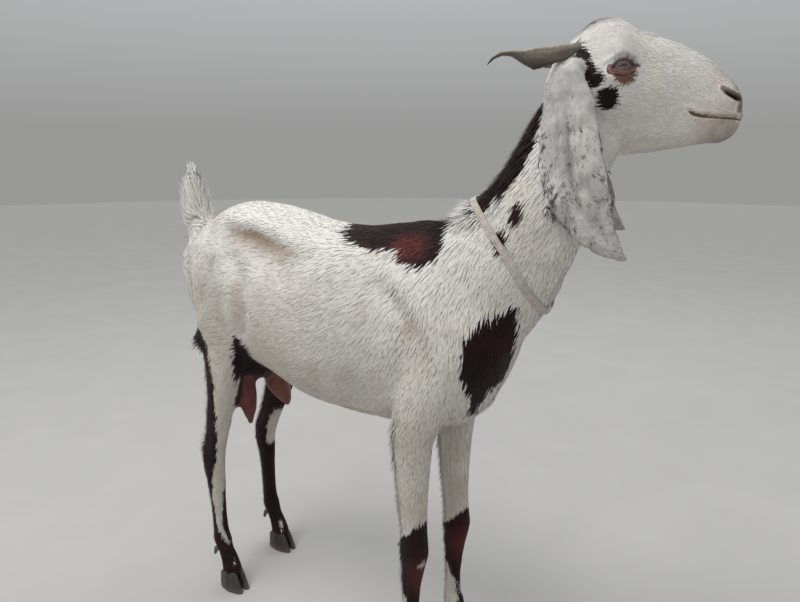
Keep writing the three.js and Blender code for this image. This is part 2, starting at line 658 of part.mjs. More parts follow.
function collar() {
  const crosswise = (radius) =>
    primitive(new THREE.CylinderGeometry(radius, radius, 300, LOOP.steps), place(LOOP.centre));
  const half = COLLAR.width / 2;
  const band = crosswise(LOOP.radius + half).subtract(crosswise(LOOP.radius - half));
  const front = primitive(new THREE.BoxGeometry(200, 300, 300), place([340, 0, 800]));
  const layer = (lift) => join([trunk(lift), neck(lift)]);
  return band.intersect(front).intersect(layer(COLLAR.lift + COLLAR.thick)).subtract(layer(COLLAR.lift));
}
add(goat, "collar", collar(), collarTape);

// ---------- the origin: on the floor, under the middle of the whole doe ----------
goat.updateMatrixWorld(true);
const box = new THREE.Box3().setFromObject(goat, true);
const middle = box.getCenter(new THREE.Vector3());
goat.position.set(-middle.x, -middle.y, -box.min.z);

const part = new THREE.Group();
part.add(goat);
export default part;
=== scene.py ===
"""A grown dairy doe with long hanging ears, standing still, life size.

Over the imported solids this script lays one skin, a coat of short hair in locks, the eyes, horns, claws and
collar. Shapes are worked out in millimetres in the doe's own frame: x to the nose, y to the doe's left, z up
from the floor.
"""
import itertools
from math import cos, pi, radians, sin

import bmesh
import bpy
import numpy as np
from mathutils import Matrix, Vector
from mathutils.bvhtree import BVHTree


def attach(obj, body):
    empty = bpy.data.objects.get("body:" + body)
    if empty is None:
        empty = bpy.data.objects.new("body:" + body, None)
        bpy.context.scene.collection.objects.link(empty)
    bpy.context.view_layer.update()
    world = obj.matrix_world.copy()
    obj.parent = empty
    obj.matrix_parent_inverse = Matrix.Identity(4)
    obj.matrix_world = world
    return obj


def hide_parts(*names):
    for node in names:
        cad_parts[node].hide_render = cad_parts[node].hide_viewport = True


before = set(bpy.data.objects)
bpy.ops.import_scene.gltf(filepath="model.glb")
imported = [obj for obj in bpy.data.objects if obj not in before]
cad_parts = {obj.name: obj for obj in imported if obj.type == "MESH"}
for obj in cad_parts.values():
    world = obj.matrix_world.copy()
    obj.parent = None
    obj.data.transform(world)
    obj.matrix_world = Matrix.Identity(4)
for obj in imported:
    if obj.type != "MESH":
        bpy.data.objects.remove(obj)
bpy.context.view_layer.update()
rng = np.random.default_rng(7)

MM = 0.001
ROW_SHIFT = np.array([-101.26, -2.26, 0.0])  # from the doe's own zero to the row's origin
RIGHT, LEFT = -1, 1

HEAD_AT = np.array([405.0, 55.0, 980.0])
HEAD_YAW, HEAD_PITCH = radians(11), radians(8)
EYE_RADIUS = 13.0
EYE = {side: np.array([47.0, side * 42.0, 30.0]) for side in (RIGHT, LEFT)}  # in the head's own frame
CORONET = 36.0  # height of the top of the claws

FLESH = {  # node: how far the coat stands over the skin, and over what length its facets are evened out
    "trunk": {"coat": 3.8, "even": 13},
    "neck": {"coat": 3.6, "even": 11},
    "head": {"coat": 1.5, "even": 5},
    "tail": {"coat": 7.0, "even": 8},
    "foreleg_right": {"coat": 2.2, "even": 5.5},
    "foreleg_left": {"coat": 2.2, "even": 5.5},
    "hindleg_right": {"coat": 2.2, "even": 5.5},
    "hindleg_left": {"coat": 2.2, "even": 5.5},
    "ear_right": {"coat": 0.6, "even": 3},
    "ear_left": {"coat": 0.6, "even": 3},
    "udder": {"coat": 0.8, "even": 9},
    "teat_right": {"coat": 0.15, "even": 4},
    "teat_left": {"coat": 0.15, "even": 4},
}
NAMES = list(FLESH)


# ---------- frames, colours and small helpers ----------
def to_row(points):
    return (np.asarray(points, float) + ROW_SHIFT) * MM


def to_own(points):
    return np.asarray(points, float) / MM - ROW_SHIFT


def turn_about(axis, angle):
    return np.array(Matrix.Rotation(angle, 3, axis))


HEAD_TURN = turn_about("Z", HEAD_YAW) @ turn_about("Y", HEAD_PITCH)


def to_head(points):
    return (points - HEAD_AT) @ HEAD_TURN


def from_head(points):
    return points @ HEAD_TURN.T + HEAD_AT


def linear(hex_colour):
    """An sRGB hex colour as linear red, green and blue."""
    parts = np.array([int(hex_colour[i : i + 2], 16) / 255 for i in (1, 3, 5)])
    return np.where(parts <= 0.04045, parts / 12.92, ((parts + 0.055) / 1.055) ** 2.4)


def unit(vectors):
    vectors = np.asarray(vectors, float)
    return vectors / np.maximum(np.linalg.norm(vectors, axis=-1, keepdims=True), 1e-9)


def ease(value, low, high):
    """0 below low, 1 above high, and a soft step between."""
    t = np.clip((value - low) / (high - low), 0, 1)
    return t * t * (3 - 2 * t)


def hump(points, at, reach):
    """1 at a point, falling softly to 0 at the given reach along x, y and z."""
    away = np.linalg.norm((points - np.array(at)) / np.array(reach), axis=-1)
    return np.where(away < 1, (1 - np.minimum(away, 1) ** 2) ** 2, 0)


def from_line(points, line):
    """Distance from a line of a few joined points, and how far along it, 0 to 1."""
    line = np.asarray(line, float)
    lengths = np.linalg.norm(np.diff(line, axis=0), axis=1)
    best = np.full(len(points), 1e9)
    along = np.zeros(len(points))
    for k, (start, end) in enumerate(zip(line, line[1:])):
        step = end - start
        t = np.clip((points - start) @ step / (step @ step), 0, 1)
        away = np.linalg.norm(points - start - t[:, None] * step, axis=1)
        nearer = away < best
        best[nearer] = away[nearer]
        along[nearer] = (lengths[:k].sum() + t[nearer] * lengths[k]) / lengths.sum()
    return best, along


def in_outline(across, up, corners):
    """Distance inside a closed outline of a few corners in a flat view, negative outside."""
    corners = np.asarray(corners, float)
    point = np.stack([across, up], -1)
    nearest = np.full(len(point), 1e9)
    inside = np.zeros(len(point), bool)
    for start, end in zip(corners, np.roll(corners, -1, axis=0)):
        step = end - start
        t = np.clip((point - start) @ step / (step @ step), 0, 1)
        nearest = np.minimum(nearest, np.linalg.norm(point - start - t[:, None] * step, axis=1))
        crosses = (start[1] > up) != (end[1] > up)
        rise = step[1] if step[1] else 1e-9
        inside ^= crosses & (across < start[0] + (up - start[1]) / rise * step[0])
    return np.where(inside, nearest, -nearest)


def grain(points, size, seed=0):
    """Smooth random values from -1 to 1, with patches about the given size across."""
    scaled = points / size
    cell = np.floor(scaled).astype(np.int64)
    t = scaled - cell
    t = t * t * (3 - 2 * t)
    total = np.zeros(len(points))
    for corner in itertools.product((0, 1), repeat=3):
        x, y, z = (cell + corner).T
        key = (x * 73856093) ^ (y * 19349663) ^ (z * 83492791) ^ (seed * 15485863)
        key = ((key ^ (key >> 13)) * 1274126177) & 0x7FFFFFFF
        weight = np.prod(np.where(corner, t, 1 - t), axis=1)
        total += weight * (key / 0x3FFFFFFF - 1)
    return total


def corner_normals(points, triangles):
    faces = np.cross(
        points[triangles[:, 1]] - points[triangles[:, 0]], points[triangles[:, 2]] - points[triangles[:, 0]]
    )
    total = np.zeros((len(points), 3))
    for k, axis in itertools.product(range(3), range(3)):
        total[:, axis] += np.bincount(triangles[:, k], faces[:, axis], len(points))
    return unit(total)


class Net:
    """Which corners of a mesh are joined by edges, for averaging over neighbours."""

    def __init__(self, edges, count):
        self.ends = np.concatenate([edges, edges[:, ::-1]])
        self.count = count
        self.degree = np.maximum(np.bincount(self.ends[:, 0], minlength=count), 1)

    def average(self, values):
        if values.ndim == 1:
            return np.bincount(self.ends[:, 0], values[self.ends[:, 1]], self.count) / self.degree
        return np.stack([self.average(values[:, axis]) for axis in range(values.shape[1])], 1)

    def spread(self, values, passes, share=0.5):
        """Values evened out over the surface."""
        share = share[:, None] if np.ndim(share) and values.ndim > 1 else share
        for _ in range(passes):
            values = values + share * (self.average(values) - values)
        return values


# ---------- meshes in and out of Blender ----------
def solid_of(name):
    """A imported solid's corners and triangles, in the doe's own frame."""
    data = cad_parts[name].data
    data.calc_loop_triangles()
    corners = np.empty(len(data.vertices) * 3, np.float32)
    data.vertices.foreach_get("co", corners)
    triangles = np.empty(len(data.loop_triangles) * 3, np.int32)
    data.loop_triangles.foreach_get("vertices", triangles)
    points, index = np.unique(np.round(corners.reshape(-1, 3), 6), axis=0, return_inverse=True)
    triangles = index.ravel()[triangles].reshape(-1, 3)
    whole = (np.diff(np.sort(triangles, axis=1), axis=1) > 0).all(axis=1)
    return to_own(points), triangles[whole]


def ball(at, radius):
    """A closed ball, to fill the socket of a separate piece."""
    bm = bmesh.new()
    bmesh.ops.create_icosphere(bm, subdivisions=2, radius=1.0)
    points = np.array([v.co for v in bm.verts]) * radius + np.array(at)
    triangles = np.array([[v.index for v in f.verts] for f in bm.faces])
    bm.free()
    return points, triangles


def joined(parts):
    points, triangles, base = [], [], 0
    for corners, faces in parts:
        points.append(corners)
        triangles.append(faces + base)
        base += len(corners)
    return np.concatenate(points), np.concatenate(triangles)


def plain_mesh(name, points_in_row, faces):
    """A mesh from arrays: faces is an array of triangles or of four-sided faces."""
    mesh = bpy.data.meshes.new(name)
    sides = faces.shape[1]
    mesh.vertices.add(len(points_in_row))
    mesh.vertices.foreach_set("co", np.ascontiguousarray(points_in_row, np.float32).ravel())
    mesh.loops.add(len(faces) * sides)
    mesh.loops.foreach_set("vertex_index", np.ascontiguousarray(faces, np.int32).ravel())
    mesh.polygons.add(len(faces))
    mesh.polygons.foreach_set("loop_start", np.arange(len(faces), dtype=np.int32) * sides)
    mesh.update(calc_edges=True)
    return mesh


def show(name, mesh, material, replaces=(), smooth=True):
    """Puts a finished mesh in the scene as a piece of the doe."""
    mesh.polygons.foreach_set("use_smooth", np.full(len(mesh.polygons), smooth))
    mesh.materials.append(material)
    piece = bpy.data.objects.new(name, mesh)
    bpy.context.collection.objects.link(piece)
    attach(piece, "root")
    if replaces:
        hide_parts(*replaces)
    return piece


def set_colours(mesh, name, colours):
    layer = mesh.color_attributes.new(name, "FLOAT_COLOR", "POINT")
    full = np.ones((len(colours), 4), np.float32)
    full[:, : colours.shape[1]] = colours
    layer.data.foreach_set("color", full.ravel())


def set_uv(mesh, name, corner_uv):
    layer = mesh.uv_layers.new(name=name)
    order = np.empty(len(mesh.loops), np.int32)
    mesh.loops.foreach_get("vertex_index", order)
    layer.uv.foreach_set("vector", np.ascontiguousarray(corner_uv[order], np.float32).ravel())


def even_grid(points, triangles, size):
    """One closed surface of even small faces round all the given solids, as a mesh in the row's frame."""
    raw = plain_mesh("raw", to_row(points), triangles)
    body = bpy.data.objects.new("raw", raw)
    bpy.context.collection.objects.link(body)
    grid = body.modifiers.new("grid", "REMESH")
    grid.mode = "VOXEL"
    grid.voxel_size = size * MM
    made = bpy.data.meshes.new_from_object(body.evaluated_get(bpy.context.evaluated_depsgraph_get()))
    bpy.data.objects.remove(body)
    return made


def arrays_of(mesh):
    """Corners in the doe's own frame, edges and triangles of a Blender mesh."""
    corners = np.empty(len(mesh.vertices) * 3, np.float32)
    mesh.vertices.foreach_get("co", corners)
    edges = np.empty(len(mesh.edges) * 2, np.int32)
    mesh.edges.foreach_get("vertices", edges)
    mesh.calc_loop_triangles()
    triangles = np.empty(len(mesh.loop_triangles) * 3, np.int32)
    mesh.loop_triangles.foreach_get("vertices", triangles)
    return to_own(corners.reshape(-1, 3)), edges.reshape(-1, 2), triangles.reshape(-1, 3)


# ---------- the skin's rough form: the flesh closed into one surface ----------
FINE, COARSE = 2.8, 6.0
NECK_SPLIT = {"at": np.array([335.0, 8.0, 790.0]), "facing": unit([0.35, 0.15, 0.92])}
CLOSE = 0.25  # each solid grows by this, so that the parting gaps close


def swollen(name):
    points, triangles = solid_of(name)
    return points + CLOSE * corner_normals(points, triangles), triangles


def hanging(name):
    """A teat, its lower part swung a little forward and clear of the thigh, and rounder in the middle."""
    points, triangles = swollen(name)
    low = np.clip((472 - points[:, 2]) / 90, 0, 1)
    side = RIGHT if name.endswith("right") else LEFT
    middle = points[:, :2].mean(axis=0) + np.stack([low * 3, low * side * 4], 1)
    swell = 1 + 0.30 * np.sin(pi * np.clip(low * 1.15 - 0.1, 0, 1))
    points[:, :2] = middle + (points[:, :2] - middle) * swell[:, None]
    if side == RIGHT:
        points[:, 0] += 7 * low ** 1.3
        points[:, 1] += 6.5 * low ** 0.8
    return points, triangles


def head_fillings():
    """Balls that fill the sockets of the eyes and horns under the skin."""
    for side in (RIGHT, LEFT):
        yield ball(from_head(EYE[side]), EYE_RADIUS + 0.8)
        yield ball(from_head(np.array([2.0, side * 25.0, 51.0])), 10.5)
        yield ball(from_head(np.array([-10.0, side * 29.0, 47.0])), 9.5)


def foot_fillings():
    """Balls that fill the sockets of the dewclaws."""
    for name in ("fore_right", "fore_left", "hind_right", "hind_left"):
        for half in ("inner", "outer"):
            points, _ = solid_of(f"dewclaw_{name}_{half}")
            top = points[points[:, 2] > points[:, 2].max() - 12].mean(axis=0)
            yield ball(top + np.array([2.0, 0, -1.0]), 6.2)


def keep_side(mesh, above):
    """Cuts a surface at the split of the neck and keeps one side, leaving a narrow gap between the two."""
    bm = bmesh.new()
    bm.from_mesh(mesh)
    drop_islands(bm)
    at = Vector(to_row(NECK_SPLIT["at"] + NECK_SPLIT["facing"] * (1.6 if above else -1.6)))
    everything = list(bm.verts) + list(bm.edges) + list(bm.faces)
    bmesh.ops.bisect_plane(
        bm, geom=everything, dist=1e-6, plane_co=at, plane_no=Vector(NECK_SPLIT["facing"]),
        clear_inner=above, clear_outer=not above,
    )
    bm.to_mesh(mesh)
    bm.free()
    return mesh


def drop_islands(bm):
    """Keeps only the largest connected surface."""
    bm.verts.ensure_lookup_table()
    group = [-1] * len(bm.verts)
    sizes = []
    for start in bm.verts:
        if group[start.index] >= 0:
            continue
        mark = len(sizes)
        group[start.index] = mark
        queue = [start]
        for corner in queue:
            for edge in corner.link_edges:
                other = edge.other_vert(corner)
                if group[other.index] < 0:
                    group[other.index] = mark
                    queue.append(other)
        sizes.append(len(queue))
    largest = sizes.index(max(sizes))
    spare = [v for v in bm.verts if group[v.index] != largest]
    if spare:
        bmesh.ops.delete(bm, geom=spare, context="VERTS")


def rough_skin():
    head_parts = [swollen(name) for name in ("head", "neck", "ear_right", "ear_left")] + list(head_fillings())
    body_names = [name for name in NAMES if name != "head" and not name.startswith("ear")]
    body_parts = (
        [hanging(name) if name.startswith("teat") else swollen(name) for name in body_names]
        + list(foot_fillings())
    )
    upper = keep_side(even_grid(*joined(head_parts), FINE), above=True)
    lower = keep_side(even_grid(*joined(body_parts), COARSE), above=False)
    bm = bmesh.new()
    bm.from_mesh(upper)
    bm.from_mesh(lower)
    rims = [edge for edge in bm.edges if edge.is_boundary]
    bmesh.ops.bridge_loops(bm, edges=rims)
    bmesh.ops.recalc_face_normals(bm, faces=bm.faces)
    return bm


def evened_corners(bm, lengths):
    """Moves the corners so that facets vanish over the given lengths, and every part keeps its thickness."""
    mesh = bpy.data.meshes.new("evened")
    bm.to_mesh(mesh)
    points, edges, _ = arrays_of(mesh)
    bpy.data.meshes.remove(mesh)
    net = Net(edges, len(points))
    spacing = np.zeros(len(points))
    gap = np.linalg.norm(points[edges[:, 0]] - points[edges[:, 1]], axis=1)
    for k in (0, 1):
        spacing += np.bincount(edges[:, k], gap, len(points))
    spacing /= net.degree
    passes = 60
    share = np.clip(lengths ** 2 / (passes * spacing ** 2 / 2), 0.02, 0.9)
    share = net.spread(share, 12)
    smooth = net.spread(points, passes, share)
    return smooth + net.spread(points - smooth, passes, share)


def move_corners(bm, points):
    for corner, place in zip(bm.verts, to_row(points)):
        corner.co = place


def corners_of(bm):
    return to_own(np.array([corner.co for corner in bm.verts]))


def nearest_names(points):
    """For each point, the number in NAMES of the solid that it lies nearest to."""
    parts = [solid_of(name) for name in NAMES]
    corners, triangles = joined(parts)
    owner = np.repeat(np.arange(len(parts)), [len(faces) for _, faces in parts])
    tree = BVHTree.FromPolygons(corners.tolist(), triangles.tolist())
    return np.array([owner[tree.find_nearest(point)[2]] for point in points.tolist()])


def refine(bm, near):
    """Splits the faces whose corners all pass the test into four."""
    chosen = near(to_head(corners_of(bm)))
    edges = [edge for edge in bm.edges if all(chosen[corner.index] for corner in edge.verts)]
    bmesh.ops.subdivide_edges(bm, edges=edges, cuts=1, use_grid_fill=True)
    bm.verts.index_update()


def near_eye(reach):
    return lambda head: np.minimum(
        *(np.linalg.norm(head - EYE[side], axis=1) for side in (RIGHT, LEFT))
    ) < reach


# ---------- the head's details, worked out in the head's own frame ----------
MOUTH_LINE = {"x": [130, 136, 141, 152, 170, 196], "z": [-8, -12.5, -15, -15.8, -15, -13.8]}
NOSTRIL_LINE = [[164, 26, 18], [172, 24.5, 13.5], [181, 20.5, 9.5], [189, 13, 9]]


def mirrored(head):
    """Points with the left side folded on the right one: y counts outwards."""
    return np.stack([head[:, 0], np.abs(head[:, 1]), head[:, 2]], 1)


def eye_frame(side):
    """Outward, forward and upward directions of the opening between the lids."""
    out = unit([0.16, side * 0.97, 0.1])
    ahead = np.array([0.99, 0, 0.12])
    ahead = unit(ahead - out * (ahead @ out))
    up = np.cross(out, ahead) * side
    up = up if up[2] > 0 else -up
    return out, ahead, up


LIDS = {"reach": 10.8, "upper": 3.5, "lower": 3.6}


def lid_place(head, side):
    """How far points lie inside an eye's opening (negative on the lids), then ahead, up and outward of it."""
    out, ahead, up = eye_frame(side)
    away = head - EYE[side]
    a, b, o = away @ ahead, away @ up, away @ out
    arch = np.clip(1 - np.abs(a / LIDS["reach"]) ** 2.2, 0, 1)
    corner = -1.6 + 0.09 * a
    top, bottom = (LIDS["upper"] + 1.6) * arch + corner, (1.6 - LIDS["lower"]) * arch + corner
    inside = np.minimum(top - b, b - bottom)
    beyond = np.hypot(np.maximum(np.abs(a) - LIDS["reach"] * 0.93, 0), b - corner)
    inside = np.where(np.abs(a) > LIDS["reach"] * 0.93, -beyond, inside)
    return inside, a, b, o


def shape_eyes(head):
    for side in (RIGHT, LEFT):
        inside, a, b, o = lid_place(head, side)
        away = head - EYE[side]
        reach = np.linalg.norm(away, axis=1)
        near = (o > 0) & (reach < 40)
        edge = np.maximum(-inside, 0)
        rim = np.sqrt(np.clip(1 - (1 - np.minimum(edge, 2.0) / 2.0) ** 2, 0, 1))
        lid = EYE_RADIUS + 0.5 + 1.6 * rim - 0.30 * np.maximum(edge - 2.4, 0)
        crease = -0.9 * np.exp(-(((edge - 5.4) / 1.0) ** 2)) * ease(b, 2, 6)
        crease += -0.55 * np.exp(-(((edge - 8.4) / 0.9) ** 2)) * ease(b, 4, 8)
        for line, depth in ((3.4, 0.6), (7.2, 1.3), (12.0, 0.5), (15.5, 0.4)):
            crease -= depth * np.exp(-(((edge - line - 0.8 * np.sin(a * 0.5)) / 0.95) ** 2)) * ease(-b, 1, 6)
        bag = 1.3 * np.exp(-(((edge - 4.5) / 3.0) ** 2)) * ease(-b, 0, 4)
        bag += 0.9 * np.exp(-(((edge - 11) / 4.0) ** 2)) * ease(-b, 4, 9)
        brow = 2.4 * np.exp(-(((edge - 11) / 5.0) ** 2)) * ease(b - 0.25 * a, 4, 11)
        brow -= 1.6 * np.exp(-(((edge - 5.5) / 2.6) ** 2)) * ease(b, 3, 8)
        outer = np.maximum(reach, lid) + (crease + bag + brow) * ease(o, 0, 6)
        tucked = EYE_RADIUS + 0.45 - 4.2 * ease(inside, 0, 1.6)
        wanted = np.where(inside > 0, tucked, outer)
        groove, along = from_line(
            np.stack([a, b, a * 0], 1), [[LIDS["reach"] * 0.85, 0.6, 0], [16, 1.6, 0], [22, 1.0, 0]],
        )
        wanted -= 1.5 * np.exp(-((groove / 1.1) ** 2)) * (1 - 0.6 * along) * (inside <= 0)
        head[near] = EYE[side] + away[near] / reach[near, None] * wanted[near, None]
    return head


def nostril_place(head):
    """Distance from the nostril's slit, less its half-height there, and how far along from its back end."""
    away, along = from_line(mirrored(head), NOSTRIL_LINE)
    return away - (1.1 + 1.7 * ease(along, 0.05, 0.7)), along


def mouth_place(head):
    """Height over the line between the lips, and how far the line has opened from the corner, 0 to 1."""
    level = np.interp(head[:, 0], MOUTH_LINE["x"], MOUTH_LINE["z"])
    return head[:, 2] - level, ease(head[:, 0], 130, 138)


def shape_muzzle(head):
    core = np.stack([np.minimum(head[:, 0] - 14, 172), head[:, 1] * 0.1, head[:, 2] * 0.3 - 4], 1)
    outward = unit(head - core)
    outward[:, 2] *= 0.4
    outward = unit(outward)
    above, opened = mouth_place(head)
    opened = opened * ease(head[:, 0], 120, 132)
    head = head + outward * (opened * (
        1.3 * np.exp(-(((above - 4.0) / 4.2) ** 2))
        + 0.3 * np.exp(-(((above + 5.5) / 4.6) ** 2))
        - 1.9 * np.exp(-((above / 0.9) ** 2))
    ))[:, None]
    corner = np.exp(-(np.linalg.norm(mirrored(head) - [131, 27, -2], axis=1) / 4.0) ** 2)
    head = head - outward * 2.0 * corner[:, None]
    slit, _ = nostril_place(head)
    inward = unit(np.array([166, 0, 4]) - head)
    depth = 9.0 * ease(-slit, -0.9, 1.3)
    wing = 1.5 * np.exp(-(((slit - 2.4) / 2.2) ** 2)) * (0.4 + 0.6 * ease(head[:, 2], 8, 18))
    head = head + inward * (depth - wing)[:, None]
    ahead = ease(head[:, 0], 180, 188)
    split = np.exp(-((head[:, 1] / 1.3) ** 2)) * ease(head[:, 2], -13, -8) * (1 - ease(head[:, 2], 2, 10))
    return head - np.array([1, 0, 0]) * (1.4 * split * ahead)[:, None]


EAR_MIDDLE = {"z": [-190, -176, -151, -117, -76, -34, 4, 40], "x": [94, 73, 50, 29, 11, 0, -8, -8]}
EAR_SET = {RIGHT: {"back": 0, "inward": 0, "length": 1.0}, LEFT: {"back": 16, "inward": 24, "length": 0.9}}


def ear_place(head, side):
    """Distance ahead of an ear's middle line, and how far down the ear, 0 at the root and 1 at the tip."""
    setting = EAR_SET[side]
    height = head[:, 2] / np.where(head[:, 2] < 0, setting["length"], 1)
    hang = np.clip(height / -120, 0, 1)
    middle = np.interp(height, EAR_MIDDLE["z"], EAR_MIDDLE["x"]) - setting["back"] * hang
    return head[:, 0] - middle, np.clip((30 - height) / 226, 0, 1)


def shape_ears(head, owner):
    for name, side in (("ear_right", RIGHT), ("ear_left", LEFT)):
        mine = owner == NAMES.index(name)
        across, down = ear_place(head, side)
        long_part = ease(down, 0.22, 0.4) * (1 - ease(down, 0.75, 0.95))
        fold = np.zeros(len(head))
        for line, depth, wide in ((-2, 5.8, 3.2), (-13, 2.2, 2.6), (9, 3.4, 2.8), (20, 1.6, 2.4)):
            bent = line * (1.15 - 0.5 * down) + 2.5 * np.sin(down * 9 + line)
            fold += depth * np.exp(-(((across - bent) / wide) ** 2))
        for line, depth in ((-17, 4.2), (15, 3.6)):
            fold -= depth * np.exp(-(((across - line) / 10) ** 2))
        veins = 0.8 * grain(head * [1, 1, 0.35], 9, 3) + 1.3 * grain(head, 26, 6) * ease(down, 0.5, 0.8)
        curl = 4.5 * ease(-across, 16, 42) ** 2
        push = (fold * long_part + veins * ease(down, 0.2, 0.4) - curl * long_part) * -side
        head[mine, 1] += push[mine]
    return head


# ---------- the body's details ----------
HOOK_RIDGE = [
    [-215, 60, 796], [-183, 61, 791], [-118, 62, 786], [-79, 66, 780], [-46, 70, 772], [-10, 74, 765],
    [30, 78, 757]
]


def body_details(points, normals, owner):
    """How far each point of the skin rises or sinks for ridges, hollows, ribs, folds and tendons."""
    side_folded = np.stack([points[:, 0], np.abs(points[:, 1]), points[:, 2]], 1)
    rise = np.zeros(len(points))
    x, _, z = side_folded.T
    trunk_like = np.isin(
        owner,
        [NAMES.index(n) for n in ("trunk", "hindleg_right", "hindleg_left", "foreleg_right", "foreleg_left")]
    )

    ridge, along = from_line(side_folded, HOOK_RIDGE)
    ridge_height = np.interp(x, [p[0] for p in HOOK_RIDGE], [p[2] for p in HOOK_RIDGE])
    under = ridge_height - z
    length = ease(x, -225, -175) * (1 - ease(x, -20, 60))
    rise += 3.5 * np.exp(-((ridge / 15) ** 2)) * (1 - 0.6 * along)
    rise -= 15 * ease(under, 2, 24) * (1 - ease(under, 34, 110)) * length
    rise -= 4.5 * hump(side_folded, [-100, 84, 742], [60, 50, 26])
    rise -= 6.0 * hump(side_folded, [-262, 74, 762], [42, 50, 34])
    rise += 3.5 * hump(side_folded, [-350, 46, 706], [22, 26, 26])

    lean = x + 0.28 * (z - 640)
    ribs = np.cos(lean * 2 * pi / 31)
    rise += (
        1.5 * ribs * ease(lean, -75, -35) * (1 - ease(lean, 95, 135)) * ease(z, 520, 570)
        * (1 - ease(z, 715, 750))
    )

    furrow, along = from_line(
        side_folded, [[170, 92, 716], [200, 94, 692], [230, 97, 668], [254, 97, 636], [264, 92, 596]]
    )
    rise -= 9.0 * np.exp(-((furrow / 13) ** 2)) * (1 - 0.35 * along)
    behind, _ = from_line(side_folded, [[208, 90, 722], [240, 94, 694], [270, 92, 660], [286, 88, 620]])
    rise += 4.0 * np.exp(-((behind / 17) ** 2))
    elbow, _ = from_line(side_folded, [[118, 100, 560], [140, 92, 528], [166, 88, 508]])
    rise -= 6.0 * np.exp(-((elbow / 13) ** 2))
    blade, _ = from_line(side_folded, [[262, 70, 770], [282, 84, 720], [306, 84, 670]])
    rise += 3.0 * np.exp(-((blade / 14) ** 2))
    thigh, _ = from_line(side_folded, [[-214, 80, 738], [-170, 94, 694], [-158, 100, 634], [-168, 86, 572]])
    rise += 5.0 * np.exp(-((thigh / 15) ** 2))
    stifle, along = from_line(
        side_folded, [[-168, 86, 726], [-132, 98, 684], [-124, 102, 632], [-136, 92, 592]]
    )
    rise -= 9.0 * np.exp(-((stifle / 13) ** 2))
    rise -= 6.0 * hump(side_folded, [-178, 84, 474], [26, 40, 46])
    hamstring, _ = from_line(
        side_folded, [[-318, 76, 700], [-296, 90, 610], [-278, 92, 500], [-272, 86, 420]]
    )
    rise -= 5.0 * np.exp(-((hamstring / 11) ** 2)) * (x > -340)
    rise -= 9.0 * hump(side_folded, [164, 72, 474], [24, 40, 44])
    rise *= trunk_like

    for name in ("foreleg_right", "foreleg_left", "hindleg_right", "hindleg_left"):
        mine = owner == NAMES.index(name)
        low = mine & (z < 235) & (z > 112)
        if not low.any():
            continue
        middle = points[low, 0].mean()
        groove = (
            np.exp(-(((points[:, 0] - middle + 3.5) / 2.6) ** 2)) * ease(z, 112, 130)
            * (1 - ease(z, 205, 235))
        )
        rise -= 1.5 * groove * mine * np.abs(normals[:, 1])
        rise += 1.0 * mine * np.exp(-(((z - 268) / 17) ** 2)) * ("fore" in name)
        rise += 1.3 * mine * np.exp(-(((z - 104) / 10) ** 2)) * np.abs(normals[:, 1])
        rise -= 1.2 * mine * np.exp(-(((z - 84) / 7) ** 2)) * ease(normals[:, 0], -0.2, 0.6)

    low_neck = owner == NAMES.index("neck")
    folds = np.sin((z * 0.8 + x * 0.35) * 2 * pi / 34 + 2 * grain(points, 60, 5))
    rise += 0.9 * folds * low_neck * ease(normals[:, 0], -0.1, 0.7)
    soft = np.isin(owner, [NAMES.index(n) for n in ("trunk", "neck")])
    rise += (1.6 * grain(points, 46, 1) + 0.6 * grain(points, 21, 2)) * soft
    rise += 0.35 * grain(points, 13, 9) * ~soft
    rise += 8.0 * hump(points, [288, -10, 826], [28, 34, 20])
    teats = np.isin(owner, [NAMES.index(n) for n in ("teat_right", "teat_left")])
    rise += 0.45 * np.sin(z * 2 * pi / 4.6 + 1.5 * grain(points, 12, 4)) * teats * (1 - ease(z, 420, 450))
    return rise


def leg_coat(height):
    """How far the coat of a leg stands over its skin at a height."""
    return np.interp(height, [40, 110, 300, 480, 600], [1.4, 1.7, 2.2, 3.6, 4.6])


def coat_depth(points, owner):
    depth = np.array([FLESH[name]["coat"] for name in NAMES])[owner]
    leg = np.isin(owner, [i for i, name in enumerate(NAMES) if "leg" in name])
    return np.where(leg, leg_coat(points[:, 2]), depth)


